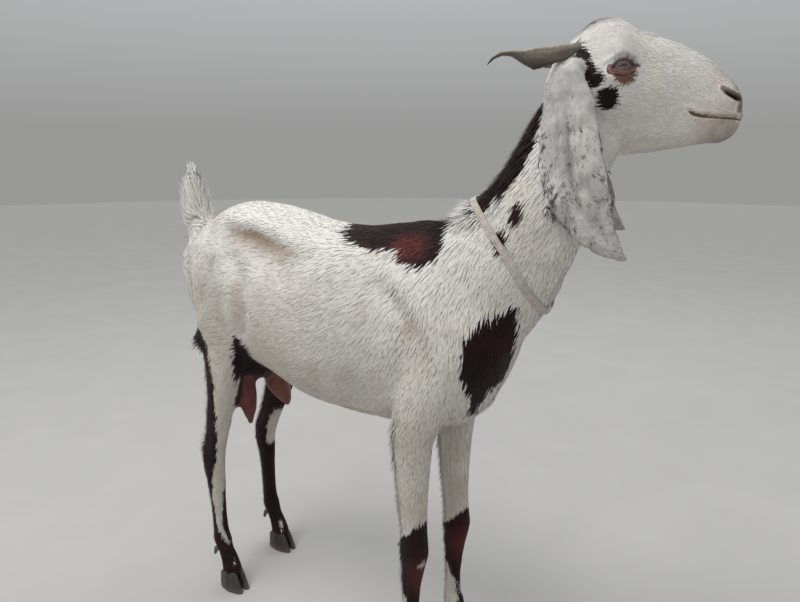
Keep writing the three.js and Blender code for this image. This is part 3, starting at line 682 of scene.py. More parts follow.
def make_skin():
    """The skin's mesh, corners, net, triangles, normals, owners and coat depth, and the head as yet plain."""
    bm = rough_skin()
    points = corners_of(bm)
    owner = nearest_names(points)
    lengths = np.array([FLESH[name]["even"] for name in NAMES], float)[owner]
    leg = np.isin(owner, [i for i, name in enumerate(NAMES) if "leg" in name])
    lengths = np.where(leg, np.interp(points[:, 2], [250, 420, 560], [5.5, 7.5, 12]), lengths)
    flat_sole = points[:, 2] < CORONET + 1.5
    head = to_head(points)
    muzzle = (head[:, 0] > 120) & (head[:, 2] > -60) & (owner == NAMES.index("head"))
    lengths = np.where(muzzle, 6.5, lengths)
    moved = evened_corners(bm, lengths)
    moved[flat_sole, 2] = points[flat_sole, 2]
    move_corners(bm, moved)

    refine(bm, near_eye(30))
    refine(bm, lambda head: (head[:, 0] > 122) & (head[:, 2] > -62))
    refine(bm, near_eye(21))

    def slits(head):
        above, _ = mouth_place(head)
        slit, _ = nostril_place(head)
        return (head[:, 2] > -62) & (((np.abs(above) < 4.5) & (head[:, 0] > 127)) | (slit < 5))

    refine(bm, slits)
    mesh = bpy.data.meshes.new("skin")
    bm.to_mesh(mesh)
    bm.free()
    points, edges, triangles = arrays_of(mesh)
    net = Net(edges, len(points))
    owner = nearest_names(points)
    head = to_head(points)
    fine = near_eye(40)(head) | ((head[:, 0] > 118) & (head[:, 2] > -66) & (owner == NAMES.index("head")))
    points = net.spread(points, 12, np.where(fine, 0.5, 0.0))

    normals = corner_normals(points, triangles)
    rise = net.spread(body_details(points, normals, owner), 2)
    depth = net.spread(coat_depth(points, owner), 20)
    step = normals * (rise - depth)[:, None]
    low = points[:, 2] < CORONET + 3
    step[low, 2] = 0
    points = points + step
    head = to_head(points)
    plain_head = head.copy()
    is_head = owner == NAMES.index("head")
    shaped = shape_muzzle(head.copy())
    shaped = shape_eyes(np.where(((head[:, 0] > 116) & is_head)[:, None], shaped, head))
    around_eye = near_eye(42)(head)
    shaped = np.where((is_head & (around_eye | (head[:, 0] > 116)))[:, None], shaped, head)
    shaped = shape_ears(shaped, owner)
    points = from_head(shaped)
    mesh.vertices.foreach_set("co", np.ascontiguousarray(to_row(points), np.float32).ravel())
    mesh.update()
    return mesh, points, net, triangles, corner_normals(points, triangles), owner, depth, plain_head


# ---------- markings: the same on the skin and in the coat ----------
WHITE, CREAM, TAN = linear("#ebe9e4"), linear("#e0d6c6"), linear("#b0967a")
# the grey of the painted shade along the coat's partings
PARTING_SHADE_GREY = linear("#a79b8d")
BLACK_HAIR, BROWN_HAIR, RED_HAIR = linear("#170a0b"), linear("#2c1214"), linear("#5a261f")
PINK_SKIN, DARK_SKIN, LID_SKIN = linear("#c9a798"), linear("#2c1b19"), linear("#6f4940")
LOW_LID_SKIN, GREY_LID_SKIN = linear("#865e54"), linear("#4c4140")
NOSE_SKIN, TEAT_SKIN, NOSTRIL_SHADE = linear("#7c6a62"), linear("#5b2523"), linear("#120a09")

SADDLE = [  # two ovals seen from the side: middle x, z and half-length, half-height
    {"at": (150, 801), "half": (99, 37)},
    {"at": (222, 786), "half": (43, 36)},
]
CHEST_PATCH = [(309, 560), (308, 655), (322, 684), (352, 702), (376, 712), (364, 650), (345, 598), (300, 522)]
NAPE_STRIPE = [[353, 26, 955], [340, 2, 893], [318, -16, 846], [306, -18, 828]]
NECK_SPOTS = [[364, -38, 831, 9, 15], [348, -50, 795, 9, 16], [372, 62, 836, 11, 18], [306, 66, 770, 12, 15]]
HORN_STREAK = [[-14, 33, 62], [-10, 39, 52], [4, 46, 37], [12, 48, 25], [23, 53, 12]]
CHEEK_SPOT = {"at": [44, 50, -5], "half": [13, 16, 15.5]}
JAW_LINE = [[31, 53, -30], [40, 50, -48], [45, 44, -62]]


def oval(across, up, at, half):
    """Distance inside an oval in a flat view, negative outside."""
    return (1 - np.hypot((across - at[0]) / half[0], (up - at[1]) / half[1])) * min(half)


SHIN_TURN = {"hindleg_right": radians(53.6), "hindleg_left": radians(47.8)}  # from x to across the leg
SHIN_HEIGHTS = [40, 100, 160, 220, 270, 310, 350, 410]


def cut_at(name, height):
    """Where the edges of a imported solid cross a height."""
    points, triangles = solid_of(name)
    start, end = points[triangles], points[np.roll(triangles, 1, axis=1)]
    crossing = (start[..., 2] - height) * (end[..., 2] - height) < 0
    start, end = start[crossing], end[crossing]
    share = (height - start[:, 2]) / (end[:, 2] - start[:, 2])
    return start + (end - start) * share[:, None]


def shin_spans(name):
    """The middle and half the width of a hind leg's skin across its outer face, at each of the heights."""
    spans = []
    for height in SHIN_HEIGHTS:
        across = cut_at(name, height)[:, :2] @ [cos(SHIN_TURN[name]), sin(SHIN_TURN[name])]
        spans.append([across.max() + across.min(), across.max() - across.min()])
    middle, half = np.array(spans).T / 2
    return middle, half - leg_coat(SHIN_HEIGHTS)


SHIN_SPANS = {name: shin_spans(name) for name in SHIN_TURN}


def across_shin(points, name):
    """Where points lie across a hind leg, from -1 at its right rear edge to 1 at its left front edge."""
    x, y, z = points.T
    middle, half = SHIN_SPANS[name]
    across = x * cos(SHIN_TURN[name]) + y * sin(SHIN_TURN[name])
    return (across - np.interp(z, SHIN_HEIGHTS, middle)) / np.interp(z, SHIN_HEIGHTS, half)


def leg_marks(points, normals, name):
    """Distance inside the dark parts of one leg."""
    x, y, z = points.T
    side = -1 if name.endswith("right") else 1
    outward = normals[:, 1] * side
    if name == "foreleg_right":
        top = 301 + 1.1 * np.clip(x - 202, -20, 34) - z
        back = x - np.interp(z, [90, 150, 185, 215, 262], [226, 216, 205, 194, 170])
        dark = np.minimum(top, np.where(z < 262, back, 9))
        white_mark, _ = from_line(points, [[236, -70, 262], [242, -58, 256]])
        return np.minimum(dark, white_mark - 4.5)
    if name == "foreleg_left":
        top = 287 + 1.0 * np.clip(x - 228, -20, 30) - z
        back = x - np.interp(z, [90, 163, 188, 218], [242, 234, 220, 190])
        return np.minimum(top, np.where(z < 218, back, 9))
    if name == "hindleg_right":
        across = across_shin(points, name)
        rear = np.interp(z, [84, 107, 120, 134, 150, 178, 205, 250, 280, 306, 345, 388, 425],
                         [0.9, 0.42, 0.0, -0.25, -0.5, -0.56, -0.69, -0.33, -0.12, 0.2, -0.02, -0.23, -0.5])
        front = np.interp(
            z, [84, 107, 120, 134, 150, 173, 205, 243, 264],
            [0.3, 0.7, 0.5, 0.3, 0.15, 0.39, 0.6, 0.85, 1.15]
        )
        shin = np.maximum(rear - across, across - front) * 17
        hidden = (-0.805 * (x + 272) + 0.593 * (y + 71)) - 4
        shin = np.maximum(shin, np.where(z < 440, hidden, -9))
        splash, _ = from_line(points, [[-237, -72, 92], [-229, -76, 64]])
        shin = np.where(z < 105, np.minimum(shin, splash - 3.6), shin)
        border = (
            np.interp(z, [428, 479, 523, 553, 568, 578, 604], [-232, -222, -225, -226, -242, -258, -300])
            - 3 * np.maximum(z - 604, 0)
        )
        ahead = np.interp(
            z, [428, 455, 470, 488, 512, 536, 561, 581, 600],
            [-150, -170, -190, -186, -180, -178, -169, -153, -130]
        )
        ahead = np.where(y > np.interp(z, [456, 470], [-68, -62]), -215, ahead)
        inner = np.where((outward < -0.25) & (z < 620), 18 * (-outward - 0.25), -9)
        thigh = np.maximum.reduce(
            [border - x, np.where((z > 440) | ((y > -68) & (z > 422)), x - ahead, -9), inner]
        )
        high = ease(z, 420, 436)
        return shin * (1 - high) + thigh * high
    across = across_shin(points, name)
    patch_edge = 2.2 * grain(points, 9, 34)
    patch = (
        np.minimum.reduce(
            [(across + 0.02) * 22, 372 - 0.25 * (x + 240) - z, z - 270 - 10 * np.abs(across - 0.5)]
        )
        + patch_edge
    )
    upper_white = (z - 540) * 0.4 + outward * 14
    streaks = np.maximum(2.6 - from_line(points, [[-254, 80, 70], [-246, 76, 52]])[0],
                         2.4 - from_line(points, [[-276, 92, 156], [-274, 92, 150]])[0])
    return -np.maximum.reduce([patch, upper_white, streaks])


REDDISH = [  # where the brown is red: place, reach and how much
    ([208, -50, 776], [46, 40, 26], 0.8), ([190, 50, 776], [46, 40, 26], 0.5),
    ([-282, -84, 462], [20, 26, 72], 0.9),
    ([232, -60, 235], [30, 40, 60], 0.55), ([244, 50, 240], [30, 40, 60], 0.5),
]


def dark_hair(points, normals, owner):
    """Distance in mm inside the dark markings (negative in the white), and how red the brown is, 0 to 1."""
    x, y, z = points.T
    at_left = y > np.interp(z, [668, 752, 822, 880, 930, 982], [0, 2, 12, 32, 46, 56])
    dark = np.full(len(points), -99.0)
    is_head = owner == NAMES.index("head")
    trunk_neck = np.isin(owner, [NAMES.index("trunk"), NAMES.index("neck")])
    ears = np.isin(owner, [NAMES.index("ear_right"), NAMES.index("ear_left")])

    height = np.minimum(z, 801)
    shift = np.where(at_left, -14, 0)
    saddle = np.maximum(*(oval(x - shift, height, spot["at"], spot["half"]) for spot in SADDLE))
    saddle = np.where(z > 740, saddle, -99)
    dark = np.where(trunk_neck, np.maximum(dark, saddle), dark)

    front = trunk_neck | (owner == NAMES.index("foreleg_right")) | (owner == NAMES.index("foreleg_left"))
    chest_right = np.minimum(in_outline(x, z, CHEST_PATCH), -1 - y)
    chest_left = np.minimum(
        in_outline((x - 330) / 0.78 + 335, (z - 600) / 0.8 + 615, CHEST_PATCH) * 0.8, y - 44
    )
    dark = np.where(front & (x > 285), np.maximum(dark, np.maximum(chest_right, chest_left)), dark)

    upper = (owner == NAMES.index("neck")) | (is_head & (to_head(points)[:, 0] < 0))
    stripe, along = from_line(points, NAPE_STRIPE)
    feather = 4.5 * grain(points * [1, 1, 0.3], 7, 33) * ease(along, 0.35, 0.9)
    broad = 25 - 13 * ease(along, 0.6, 1.0)
    dark = np.where(upper, np.maximum(dark, broad - stripe + feather), dark)
    for sx, sy, sz, half, tall in NECK_SPOTS:
        spot = (1 - np.linalg.norm((points - [sx, sy, sz]) / [half, 24, tall], axis=1)) * half
        dark = np.where(upper | trunk_neck, np.maximum(dark, spot), dark)

    head = mirrored(to_head(points))
    other = np.where(to_head(points)[:, 1] > 0, 3.0, 0.0)
    streak = 9.6 - other * 0.6 - from_line(head + np.stack([other, other * 0, -other], 1), HORN_STREAK)[0]
    cheek = (1 - np.linalg.norm((head - CHEEK_SPOT["at"]) / CHEEK_SPOT["half"], axis=1)) * 12 - other
    line = 3.0 - from_line(head, JAW_LINE)[0]
    dark = np.where(is_head, np.maximum.reduce([dark, streak, cheek, line]), dark)

    for name in ("foreleg_right", "foreleg_left", "hindleg_right", "hindleg_left"):
        mine = owner == NAMES.index(name)
        if mine.any():
            dark[mine] = np.maximum(dark[mine], leg_marks(points[mine], normals[mine], name))

    belly_edge = np.interp(z, [466, 498, 536, 557, 573, 584], [-120, -128, -134, -134, -143, -154])
    groin = np.minimum.reduce([belly_edge - x, x + 275, 586 - z])
    dark = np.where(owner == NAMES.index("trunk"), np.maximum(dark, groin), dark)
    dark = np.where(np.isin(owner, [NAMES.index(n) for n in ("udder", "teat_right", "teat_left")]), 9, dark)

    in_head = to_head(points)
    slant = in_head @ np.array([[1.0, 0, 0.25], [0, 1.0, 0], [-0.5, 0, 0.45]])
    freckle = grain(slant, 2.6, 21) + 0.45 * grain(slant, 5.5, 22) + 0.35 * grain(slant, 22, 23)
    down = np.where(ears, np.clip((30 - in_head[:, 2]) / 226, 0, 1), 0)
    across = np.abs(np.where(y > 40, ear_place(in_head, LEFT)[0], ear_place(in_head, RIGHT)[0]))
    rim = ease(across, 22, 40) * 0.3
    freckles = (freckle - 1.24 + 0.50 * ease(down, 0.10, 0.65) + rim) * 4
    dark = np.where(ears, np.maximum(dark, freckles), dark)

    ragged = np.where(ears, 0.25, 1.0)
    dark = dark + (2.4 * grain(points, 11, 31) + 1.2 * grain(points, 5, 32)) * ragged
    red = sum(much * hump(points, at, reach) for at, reach, much in REDDISH)
    return dark, np.clip(red * 1.6, 0, 1)


def tan_and_painted_shade(points):
    """How far the white coat turns a warm tan, 0 to 1: mostly painted shade in hollows and furrows, with the
    coat's own tan on the tail and in random patches.
    """
    folded = np.stack([points[:, 0], np.abs(points[:, 1]), points[:, 2]], 1)
    x, z = folded[:, 0], folded[:, 2]
    under = np.interp(x, [p[0] for p in HOOK_RIDGE], [p[2] for p in HOOK_RIDGE]) - z
    # painted shade in the hollow under the hook ridge
    shade = (
        0.95 * ease(under, 6, 18) * (1 - ease(under, 26, 52)) * ease(x, -200, -120) * (1 - ease(x, -30, 20))
    )
    # painted shade in the stifle and shoulder furrows, along the thigh's front edge, on the lower flank and
    # under the chest; the last two places, on the tail, are the coat's own tan
    for at, reach, much in (
        (
            [-132, 98, 660], [20, 40, 62], 0.55
        ), ([226, 96, 668], [26, 40, 30], 0.7), ([250, 94, 620], [30, 40, 60], 0.35),
        ([-205, 84, 712], [16, 40, 34], 0.45), (
            [-60, 110, 600], [190, 60, 80], 0.25
        ), ([216, 60, 500], [60, 60, 60], 0.4),
        ([-392, 0, 830], [10, 30, 70], 0.35), ([-376, 20, 760], [26, 40, 40], 0.3),
    ):
        shade += much * hump(folded, at, reach)
    patches = 0.5 + 0.5 * grain(points, 38, 41)
    return np.clip(shade * (0.7 + 0.5 * patches) + 0.08 * patches, 0, 1)


EYE_PATCH = [
    (-12, 0), (-11, -8), (-8, -14), (-3, -18), (4, -21), (10, -19), (15, -14), (17, -8), (16, -2),
    (24, 2.2),

             (16, 4), (11, 8), (2, 9.5), (-8, 6.5)]


def eye_patch(head, owner):
    """How far inside the brown hair round an eye points lie, in mm, and how grey it is, 0 to 1."""
    deep, grey = np.full(len(head), -99.0), np.zeros(len(head))
    for side in (RIGHT, LEFT):
        _, a, b, o = lid_place(head, side)
        near = (owner == NAMES.index("head")) & (o > -4) & (np.linalg.norm(head - EYE[side], axis=1) < 40)
        inside = in_outline(a, b, EYE_PATCH) + 1.0 * grain(head, 4, 57)
        deep = np.where(near, np.maximum(deep, inside), deep)
        grey = np.where(near, ease(b - 0.1 * a, -2, 3), grey)
    return deep, grey


def bare_skin(head, owner):
    """Where hair gives way to bare skin, 0 to 1, on the lids, nose, lips, udder and teats, and its colour."""
    bare = np.zeros(len(head))
    colour = np.tile(PINK_SKIN, (len(head), 1))
    is_head = owner == NAMES.index("head")
    for side in (RIGHT, LEFT):
        inside, a, b, o = lid_place(head, side)
        near = is_head & (o > -2) & (np.linalg.norm(head - EYE[side], axis=1) < 34)
        edge = -inside
        over = ease(b, 0, 3)
        margin = (1 - ease(edge, 0.7 + 2.4 * over, 1.7 + 3.4 * over)) * near * (0.72 + 0.28 * over)
        # the dark fold line below the eye is painted shade in that crease; the dark lid margin and rim are
        # the skin's own
        fold = np.exp(-(((edge - 7.0 + 1.2 * ease(a, 0, 10)) / 0.9) ** 2)) * ease(-b, 1.5, 5) * near
        behind = np.exp(-(((edge - 1.5) / 1.3) ** 2)) * ease(-a, 7, 10) * near
        rim = np.exp(-(((edge - 0.6) / 0.8) ** 2)) * near
        margin = np.maximum.reduce([margin, 0.62 * fold, behind, 0.85 * rim])
        under = (1 - ease(edge, 6.5, 8.5)) * (b < 2) * near
        under = np.maximum(under, (1 - ease(edge, 4.5, 6.5)) * ease(b, 0, 3) * near)
        groove, _ = from_line(
            np.stack([a, b, a * 0], 1), [[LIDS["reach"] * 0.8, 0.4, 0], [16, 1.6, 0], [21, 1.0, 0]]
        )
        tear = np.exp(-((groove / 1.8) ** 2)) * near
        low_lid = (ease(-b, 1, 3) * (1 - ease(edge, 5.5, 7.5)))[:, None]
        grey_lid = ease(b, 1, 4)[:, None]
        lid = LID_SKIN * (1 - low_lid) + LOW_LID_SKIN * low_lid
        lid = lid * (1 - grey_lid) + GREY_LID_SKIN * grey_lid
        colour = np.where((under > 0.3)[:, None], lid * (1 + 0.16 * grain(head, 2.4, 51))[:, None], colour)
        # painted shade: the dark in the tear groove and in the fold below the eye; the lid margin's dark is
        # the skin's own
        dark_edge = np.clip(np.maximum(margin, tear), 0, 1)[:, None]
        colour = colour * (1 - dark_edge) + DARK_SKIN * dark_edge
        bare = np.maximum.reduce([bare, ease(margin, 0.2, 0.5), ease(under, 0.25, 0.5), ease(tear, 0.3, 0.7)])
    slit, _ = nostril_place(head)
    above, opened = mouth_place(head)
    tip = is_head & (head[:, 0] > 150) & (head[:, 2] > -60)
    over_slit = head[:, 2] - np.interp(head[:, 0], [160, 172, 181, 189], [19, 14, 10, 9])
    pad = (1 - ease(slit - 2.2 * ease(over_slit, -1, 5), 0.8, 3.4)) * tip
    pad = np.maximum(
        pad, ease(head[:, 0], 184, 188) * ease(head[:, 2], -9, -5) * (1 - ease(head[:, 2], 10, 16)) * tip
    )
    stain = np.exp(-(((above - 2.2) / 3.2) ** 2)) * (1 - ease(head[:, 0], 150, 185))
    lips = np.exp(-((above / 1.3) ** 2)) * opened * is_head * (head[:, 2] > -40)
    lips = np.maximum(
        lips, stain * opened * is_head * (head[:, 2] > -40) * (0.55 + 0.5 * grain(head, 3.5, 56))
    )
    nose = NOSE_SKIN * (1 + 0.22 * grain(head, 3.0, 52))[:, None]
    colour = np.where((pad > 0.25)[:, None], nose, colour)
    lip_colour = linear("#74604f") * (1 + 0.3 * grain(head, 4.0, 53))[:, None]
    colour = np.where((lips > 0.35)[:, None], lip_colour, colour)
    # painted shade: the deep of the nostril's slit is near black
    deep = (1 - ease(slit, -0.9, 0.7))[:, None] * is_head[:, None]
    colour = colour * (1 - deep) + NOSTRIL_SHADE * deep
    # painted shade along the slit between the lips
    crease = (np.exp(-((above / 0.9) ** 2)) * opened * is_head)[:, None]
    colour = colour * (1 - 0.65 * crease) + linear("#3a2a20") * 0.65 * crease
    bare = np.maximum.reduce([bare, pad, ease(lips, 0.3, 0.7)])
    udder = np.isin(owner, [NAMES.index(n) for n in ("udder", "teat_right", "teat_left")])
    teats = np.isin(owner, [NAMES.index(n) for n in ("teat_right", "teat_left")])
    colour = np.where(udder[:, None], linear("#4a241c"), colour)
    farther = (owner == NAMES.index("teat_left"))[:, None]
    teat_colour = np.where(farther, linear("#6d3a2b"), TEAT_SKIN) * (1 + 0.25 * grain(head, 9, 54))[:, None]
    colour = np.where(teats[:, None], teat_colour, colour)
    bare = np.where(teats, 1.0, np.where(udder, 0.5, bare))
    return bare, colour


SOIL_AND_PAINTED_SHADE = [  # where the white is darkened, mostly painted shade on the thigh, neck and lower flank and in the hip hollow, with some real soil: place, reach and how much
    ([-225, 92, 600], [80, 60, 150], 0.75), ([372, 0, 806], [64, 90, 100], 1.0),
    ([40, 110, 560], [260, 60, 80], 0.35), ([-100, 84, 742], [70, 60, 30], 0.4),
    ([20, 100, 690], [120, 60, 60], 0.3),
]


def hair_colours(points, normals, owner, wobble):
    """The colour of the hair that grows at each point, painted shade included; wobble is a random -1 to 1 for
    each.
    """
    dark, red = dark_hair(points, normals, owner)
    tan = tan_and_painted_shade(points)[:, None]
    white = WHITE * (1 - tan) + TAN * tan
    snout = to_head(points)
    dusty = (
        ease(snout[:, 0], 128, 178) * (owner == NAMES.index("head")) * (0.40 + 0.25 * grain(points, 9, 64))
    )
    dusty = np.clip(dusty, 0, 0.6)[:, None]
    white = white * (1 - dusty) + linear("#a3917f") * dusty
    lip_height, opened = mouth_place(snout)
    lip_stain_and_chin_shade = (
        np.exp(-(((lip_height - 1.0) / 5.5) ** 2)) * opened * (snout[:, 0] < 188)
        * (0.62 + 0.4 * grain(snout, 5, 68))
    )
    # painted shade under the chin, added to the real lip stain above
    chin = hump(snout, [170, 0, -30], [36, 36, 24]) * (0.6 + 0.2 * grain(snout, 7, 58))
    lip_stain_and_chin_shade = (
        np.clip(np.maximum(lip_stain_and_chin_shade, chin), 0, 0.85) * (owner == NAMES.index("head")) * (snout[:, 2] > -62)
    )[:, None]
    white = white * (1 - lip_stain_and_chin_shade) + linear("#7d6653") * lip_stain_and_chin_shade
    cream = (0.5 + 0.5 * grain(points, 24, 61))[:, None] * 0.45
    white = white * (1 - cream) + CREAM * cream * (1 - 0.3 * tan)
    red = red[:, None]
    brown = (0.5 + 0.5 * grain(points, 16, 62))[:, None]
    deep = (BLACK_HAIR * (1 - brown) + BROWN_HAIR * brown) * (1 - red) + RED_HAIR * red
    share = ease(dark + 1.6 * wobble, -0.7, 0.7)[:, None]
    folded = np.stack([points[:, 0], np.abs(points[:, 1]), points[:, 2]], 1)
    # soil here is painted shade with some real soiling: the white darkens below about 790 mm and more below
    # 620 mm, towards the belly and legs where less light falls
    soil = 0.5 * (1 - ease(points[:, 2], 380, 620)) + 0.32 * (1 - ease(points[:, 2], 700, 790))
    for at, reach, much in SOIL_AND_PAINTED_SHADE:
        soil = soil + much * hump(folded, at, reach)
    body = ~np.isin(owner, [NAMES.index(n) for n in ("head", "ear_right", "ear_left", "tail")])
    soil = (np.clip(soil * (0.8 + 0.3 * grain(points, 30, 69)), 0, 0.9) * body)[:, None]
    white = white * (1 - soil) + linear("#bcb3a6") * soil
    lids, above_eye = eye_patch(snout, owner)
    lid_hair = linear("#815c52") * (1 - above_eye[:, None]) + linear("#4f4645") * above_eye[:, None]
    lid_hair = lid_hair * (1 + 0.25 * grain(snout, 3.0, 67))[:, None]
    lid_share = ease(lids + 0.5 * wobble, -1.0, 1.2)[:, None]
    # painted shadow: bluish grey over the hair above each eye, under the brow
    painted_brow_shadow = np.maximum(
        *(
            np.exp(
                -np.sum(((snout - EYE[s] - [-2, s * 4, 15]) / [15, 16, 7]) ** 2, axis=1)
            ) for s in (RIGHT, LEFT)
        )
    )
    painted_brow_shadow = (painted_brow_shadow * (owner == NAMES.index("head")) * 0.5)[:, None]
    white = white * (1 - painted_brow_shadow) + linear("#8d8f93") * painted_brow_shadow
    white = white * (1 - lid_share) + lid_hair * lid_share
    ears = np.isin(owner, [NAMES.index("ear_right"), NAMES.index("ear_left")])[:, None]
    smoky = (
        np.clip(0.54 + 0.35 * grain(points, 17, 65) + 0.25 * grain(points, 6, 66), 0, 0.75)[:, None] * ears
    )
    white = white * (1 - smoky) + linear("#989493") * smoky
    deep = np.where(ears, linear("#5d5554") * (1 + 0.5 * grain(points, 9, 63))[:, None], deep)
    return white * (1 - share) + deep * share, share[:, 0]


# ---------- the lie of the coat ----------
def hair_lie(points, normals, owner):
    """The way the hair points at each place on the skin."""
    x, y, z = points.T
    side = np.where(y < 0, -1.0, 1.0)
    steep = (
        radians(1)
        * np.interp(x, [-370, -290, -200, -60, 80, 180, 270, 350], [62, 52, 20, 22, 34, 52, 72, 84])
    )
    steep = steep * np.interp(z, [560, 760, 800], [1.15, 1.0, 0.35])
    lie = np.stack([-np.cos(steep), 0.12 * side, -np.sin(steep)], 1)
    head = to_head(points)
    head_side = np.where(head[:, 1] < 0, -1.0, 1.0)

    def mine(*names):
        return np.isin(owner, [NAMES.index(name) for name in names])

    neck = np.stack([-0.40 + 0 * x, -0.10 + 0 * x, -0.9 + 0 * x], 1)
    lie = np.where(mine("neck")[:, None], neck, lie)
    up_brow = ease(head[:, 2], 20, 70)
    down_jaw = ease(-head[:, 2], 0, 45)
    face = np.stack([
        -0.9 + 0 * x, 0.30 * head_side * (0.4 + up_brow), 0.30 * up_brow - 0.55 * down_jaw - 0.05,
    ], 1)
    crown = np.stack([-0.5 + 0 * x, 0.5 * head_side, -0.1 + 0 * x], 1)
    face = np.where((head[:, 0] < 30)[:, None] & (head[:, 2] > 55)[:, None], crown, face)
    lip = np.stack([-0.35 + 0 * x, 0.1 * head_side, -0.9 + 0 * x], 1)
    under_lip = ((head[:, 2] < -14) & (head[:, 0] > 140))[:, None]
    face = np.where(under_lip, lip, face)
    for eye_side in (RIGHT, LEFT):
        _, a, b, _ = lid_place(head, eye_side)
        _, ahead, up = eye_frame(eye_side)
        from_eye = unit((a * 0.75)[:, None] * ahead + (b + 4)[:, None] * up)
        close = (1 - ease(np.linalg.norm(head - EYE[eye_side], axis=1), 16, 34))[:, None]
        face = face * (1 - close) + from_eye * close
    lie = np.where(mine("head")[:, None], face @ HEAD_TURN.T, lie)
    for name, ear_side in (("ear_right", RIGHT), ("ear_left", LEFT)):
        across, down = ear_place(head, ear_side)
        hang = np.stack([0.2 + 0.75 * down + 0.012 * across, 0 * x, -1 + 0.35 * down], 1)
        lie = np.where(mine(name)[:, None], hang @ HEAD_TURN.T, lie)
    low_leg = mine("foreleg_right", "foreleg_left", "hindleg_right", "hindleg_left") & (z < 520)
    backwards = np.interp(z, [60, 250, 520], [0.05, 0.18, 0.35])
    leg = np.stack([-backwards, 0 * x, -1 + 0 * x], 1)
    lie = np.where(low_leg[:, None], leg, lie)
    lie = np.where(mine("tail")[:, None], np.array([-0.25, 0, 1.0]), lie)
    lie = np.where(mine("udder", "teat_right", "teat_left")[:, None], np.array([-0.1, 0, -1.0]), lie)
    return unit(lie - normals * np.sum(lie * normals, axis=1, keepdims=True))


LOCKS = {  # node: area in mm2 that each lock of hair has, and its length and width in mm
    "trunk": (11.2, 26, 2.2), "neck": (9.4, 22, 2.0), "head": (3.1, 9, 1.0), "tail": (5.0, 34, 1.6),
    "foreleg_right": (9.0, 20, 2.0), "foreleg_left": (9.0, 20, 2.0),
    "hindleg_right": (9.0, 20, 2.0), "hindleg_left": (9.0, 20, 2.0),
    "ear_right": (3.0, 6, 0.9), "ear_left": (3.0, 6, 0.9),
    "udder": (9.0, 9, 1.0), "teat_right": (1e6, 1, 1), "teat_left": (1e6, 1, 1),
}


def lock_sizes(points, owner):
    """The area, length and width of the locks at each point."""
    sizes = np.array([LOCKS[name] for name in NAMES], float)[owner]
    z = points[:, 2]
    leg = np.isin(owner, [i for i, name in enumerate(NAMES) if "leg" in name])
    by_height = np.stack([
        np.interp(z, [40, 200, 420, 600], [3.6, 4.6, 7.5, 10.5]),
        np.interp(z, [40, 200, 420, 600], [8, 12, 18, 24]),
        np.interp(z, [40, 200, 420, 600], [1.1, 1.3, 1.9, 2.5]),
    ], 1)
    sizes = np.where(leg[:, None], by_height, sizes)
    head = to_head(points)
    is_head = owner == NAMES.index("head")
    nose = ease(head[:, 0], 60, 170)
    jaw = ease(-head[:, 2], 10, 60) * (1 - ease(head[:, 0], 60, 130))
    back = 1 - ease(head[:, 0], -45, 15)
    around_eye = 1 - ease(np.minimum(*(np.linalg.norm(head - EYE[s], axis=1) for s in (RIGHT, LEFT))), 14, 32)
    length = 9.5 - 4.2 * nose + 5 * jaw + 8 * back - 4.2 * around_eye
    width = 1.1 - 0.2 * nose + 0.3 * jaw + 0.9 * back - 0.2 * around_eye
    area = 3.3 - 1.0 * nose + 0.8 * jaw + 4.0 * back - 0.8 * around_eye
    return np.where(is_head[:, None], np.stack([area, length, width], 1), sizes)


class Skin:
    """The finished skin, and what grows where on it."""

    def __init__(self):
        made = make_skin()
        self.mesh, self.points, self.net, self.triangles = made[:4]
        self.normals, self.owner, self.depth, self.head = made[4:]
        self.lie = unit(self.net.spread(hair_lie(self.points, self.normals, self.owner), 14))
        self.sizes = self.net.spread(lock_sizes(self.points, self.owner), 6)
        self.bare, self.bare_colour = bare_skin(self.head, self.owner)
        self.tree = BVHTree.FromPolygons(self.points.tolist(), self.triangles.tolist())

    def on(self, points):
        """The nearest places on the skin and the directions it faces there."""
        found = [self.tree.find_nearest(point) for point in points.tolist()]
        return np.array([place[0] for place in found]), np.array([place[1] for place in found])

    def scatter(self, room):
        """Even random places, as a triangle and shares of its corners; room is the area in mm2 for each."""
        a, b, c = (self.points[self.triangles[:, k]] for k in range(3))
        area = np.linalg.norm(np.cross(b - a, c - a), axis=1) / 2
        wanted = np.cumsum(area / room[self.triangles].mean(axis=1))
        count = int(wanted[-1])
        chosen = np.searchsorted(wanted, np.arange(count) + rng.random(count))
        chosen = np.minimum(chosen, len(area) - 1)
        first, second = np.sqrt(rng.random(count)), rng.random(count)
        shares = np.stack([1 - first, first * (1 - second), first * second], 1)
        return chosen, shares

    def at(self, values, chosen, shares):
        corners = values[self.triangles[chosen]]
        return np.einsum("nk,nk...->n...", shares, corners)


def open_places(skin):
    """Where no hair grows, 0 to 1: lids, nostrils, mouth, teats, the tops of the claws and under the tail."""
    head = skin.head
    shut = np.zeros(len(head))
    is_head = skin.owner == NAMES.index("head")
    for side in (RIGHT, LEFT):
        inside, _, _, o = lid_place(head, side)
        shut = np.maximum(
            shut, ease(inside, -1.8, -0.6) * (o > 0) * (np.linalg.norm(head - EYE[side], axis=1) < 20)
        )
    slit, _ = nostril_place(head)
    above, opened = mouth_place(head)
    shut = np.maximum(shut, (1 - ease(slit, 1.5, 3.0)) * is_head)
    shut = np.maximum(shut, (np.abs(above) < 0.9) * opened * is_head * (head[:, 2] > -40))
    udder = skin.owner == NAMES.index("udder")
    shut = np.maximum(shut, np.where(udder, 0.5 * skin.bare, ease(skin.bare, 0.15, 0.4)))
    under_tail = (skin.owner == NAMES.index("tail")) & (skin.normals[:, 2] < -0.3)
    under_tail |= hump(skin.points, [-390, 0, 750], [15, 30, 14]) > 0.35
    return np.maximum.reduce([shut, skin.points[:, 2] < CORONET + 1.0, under_tail])


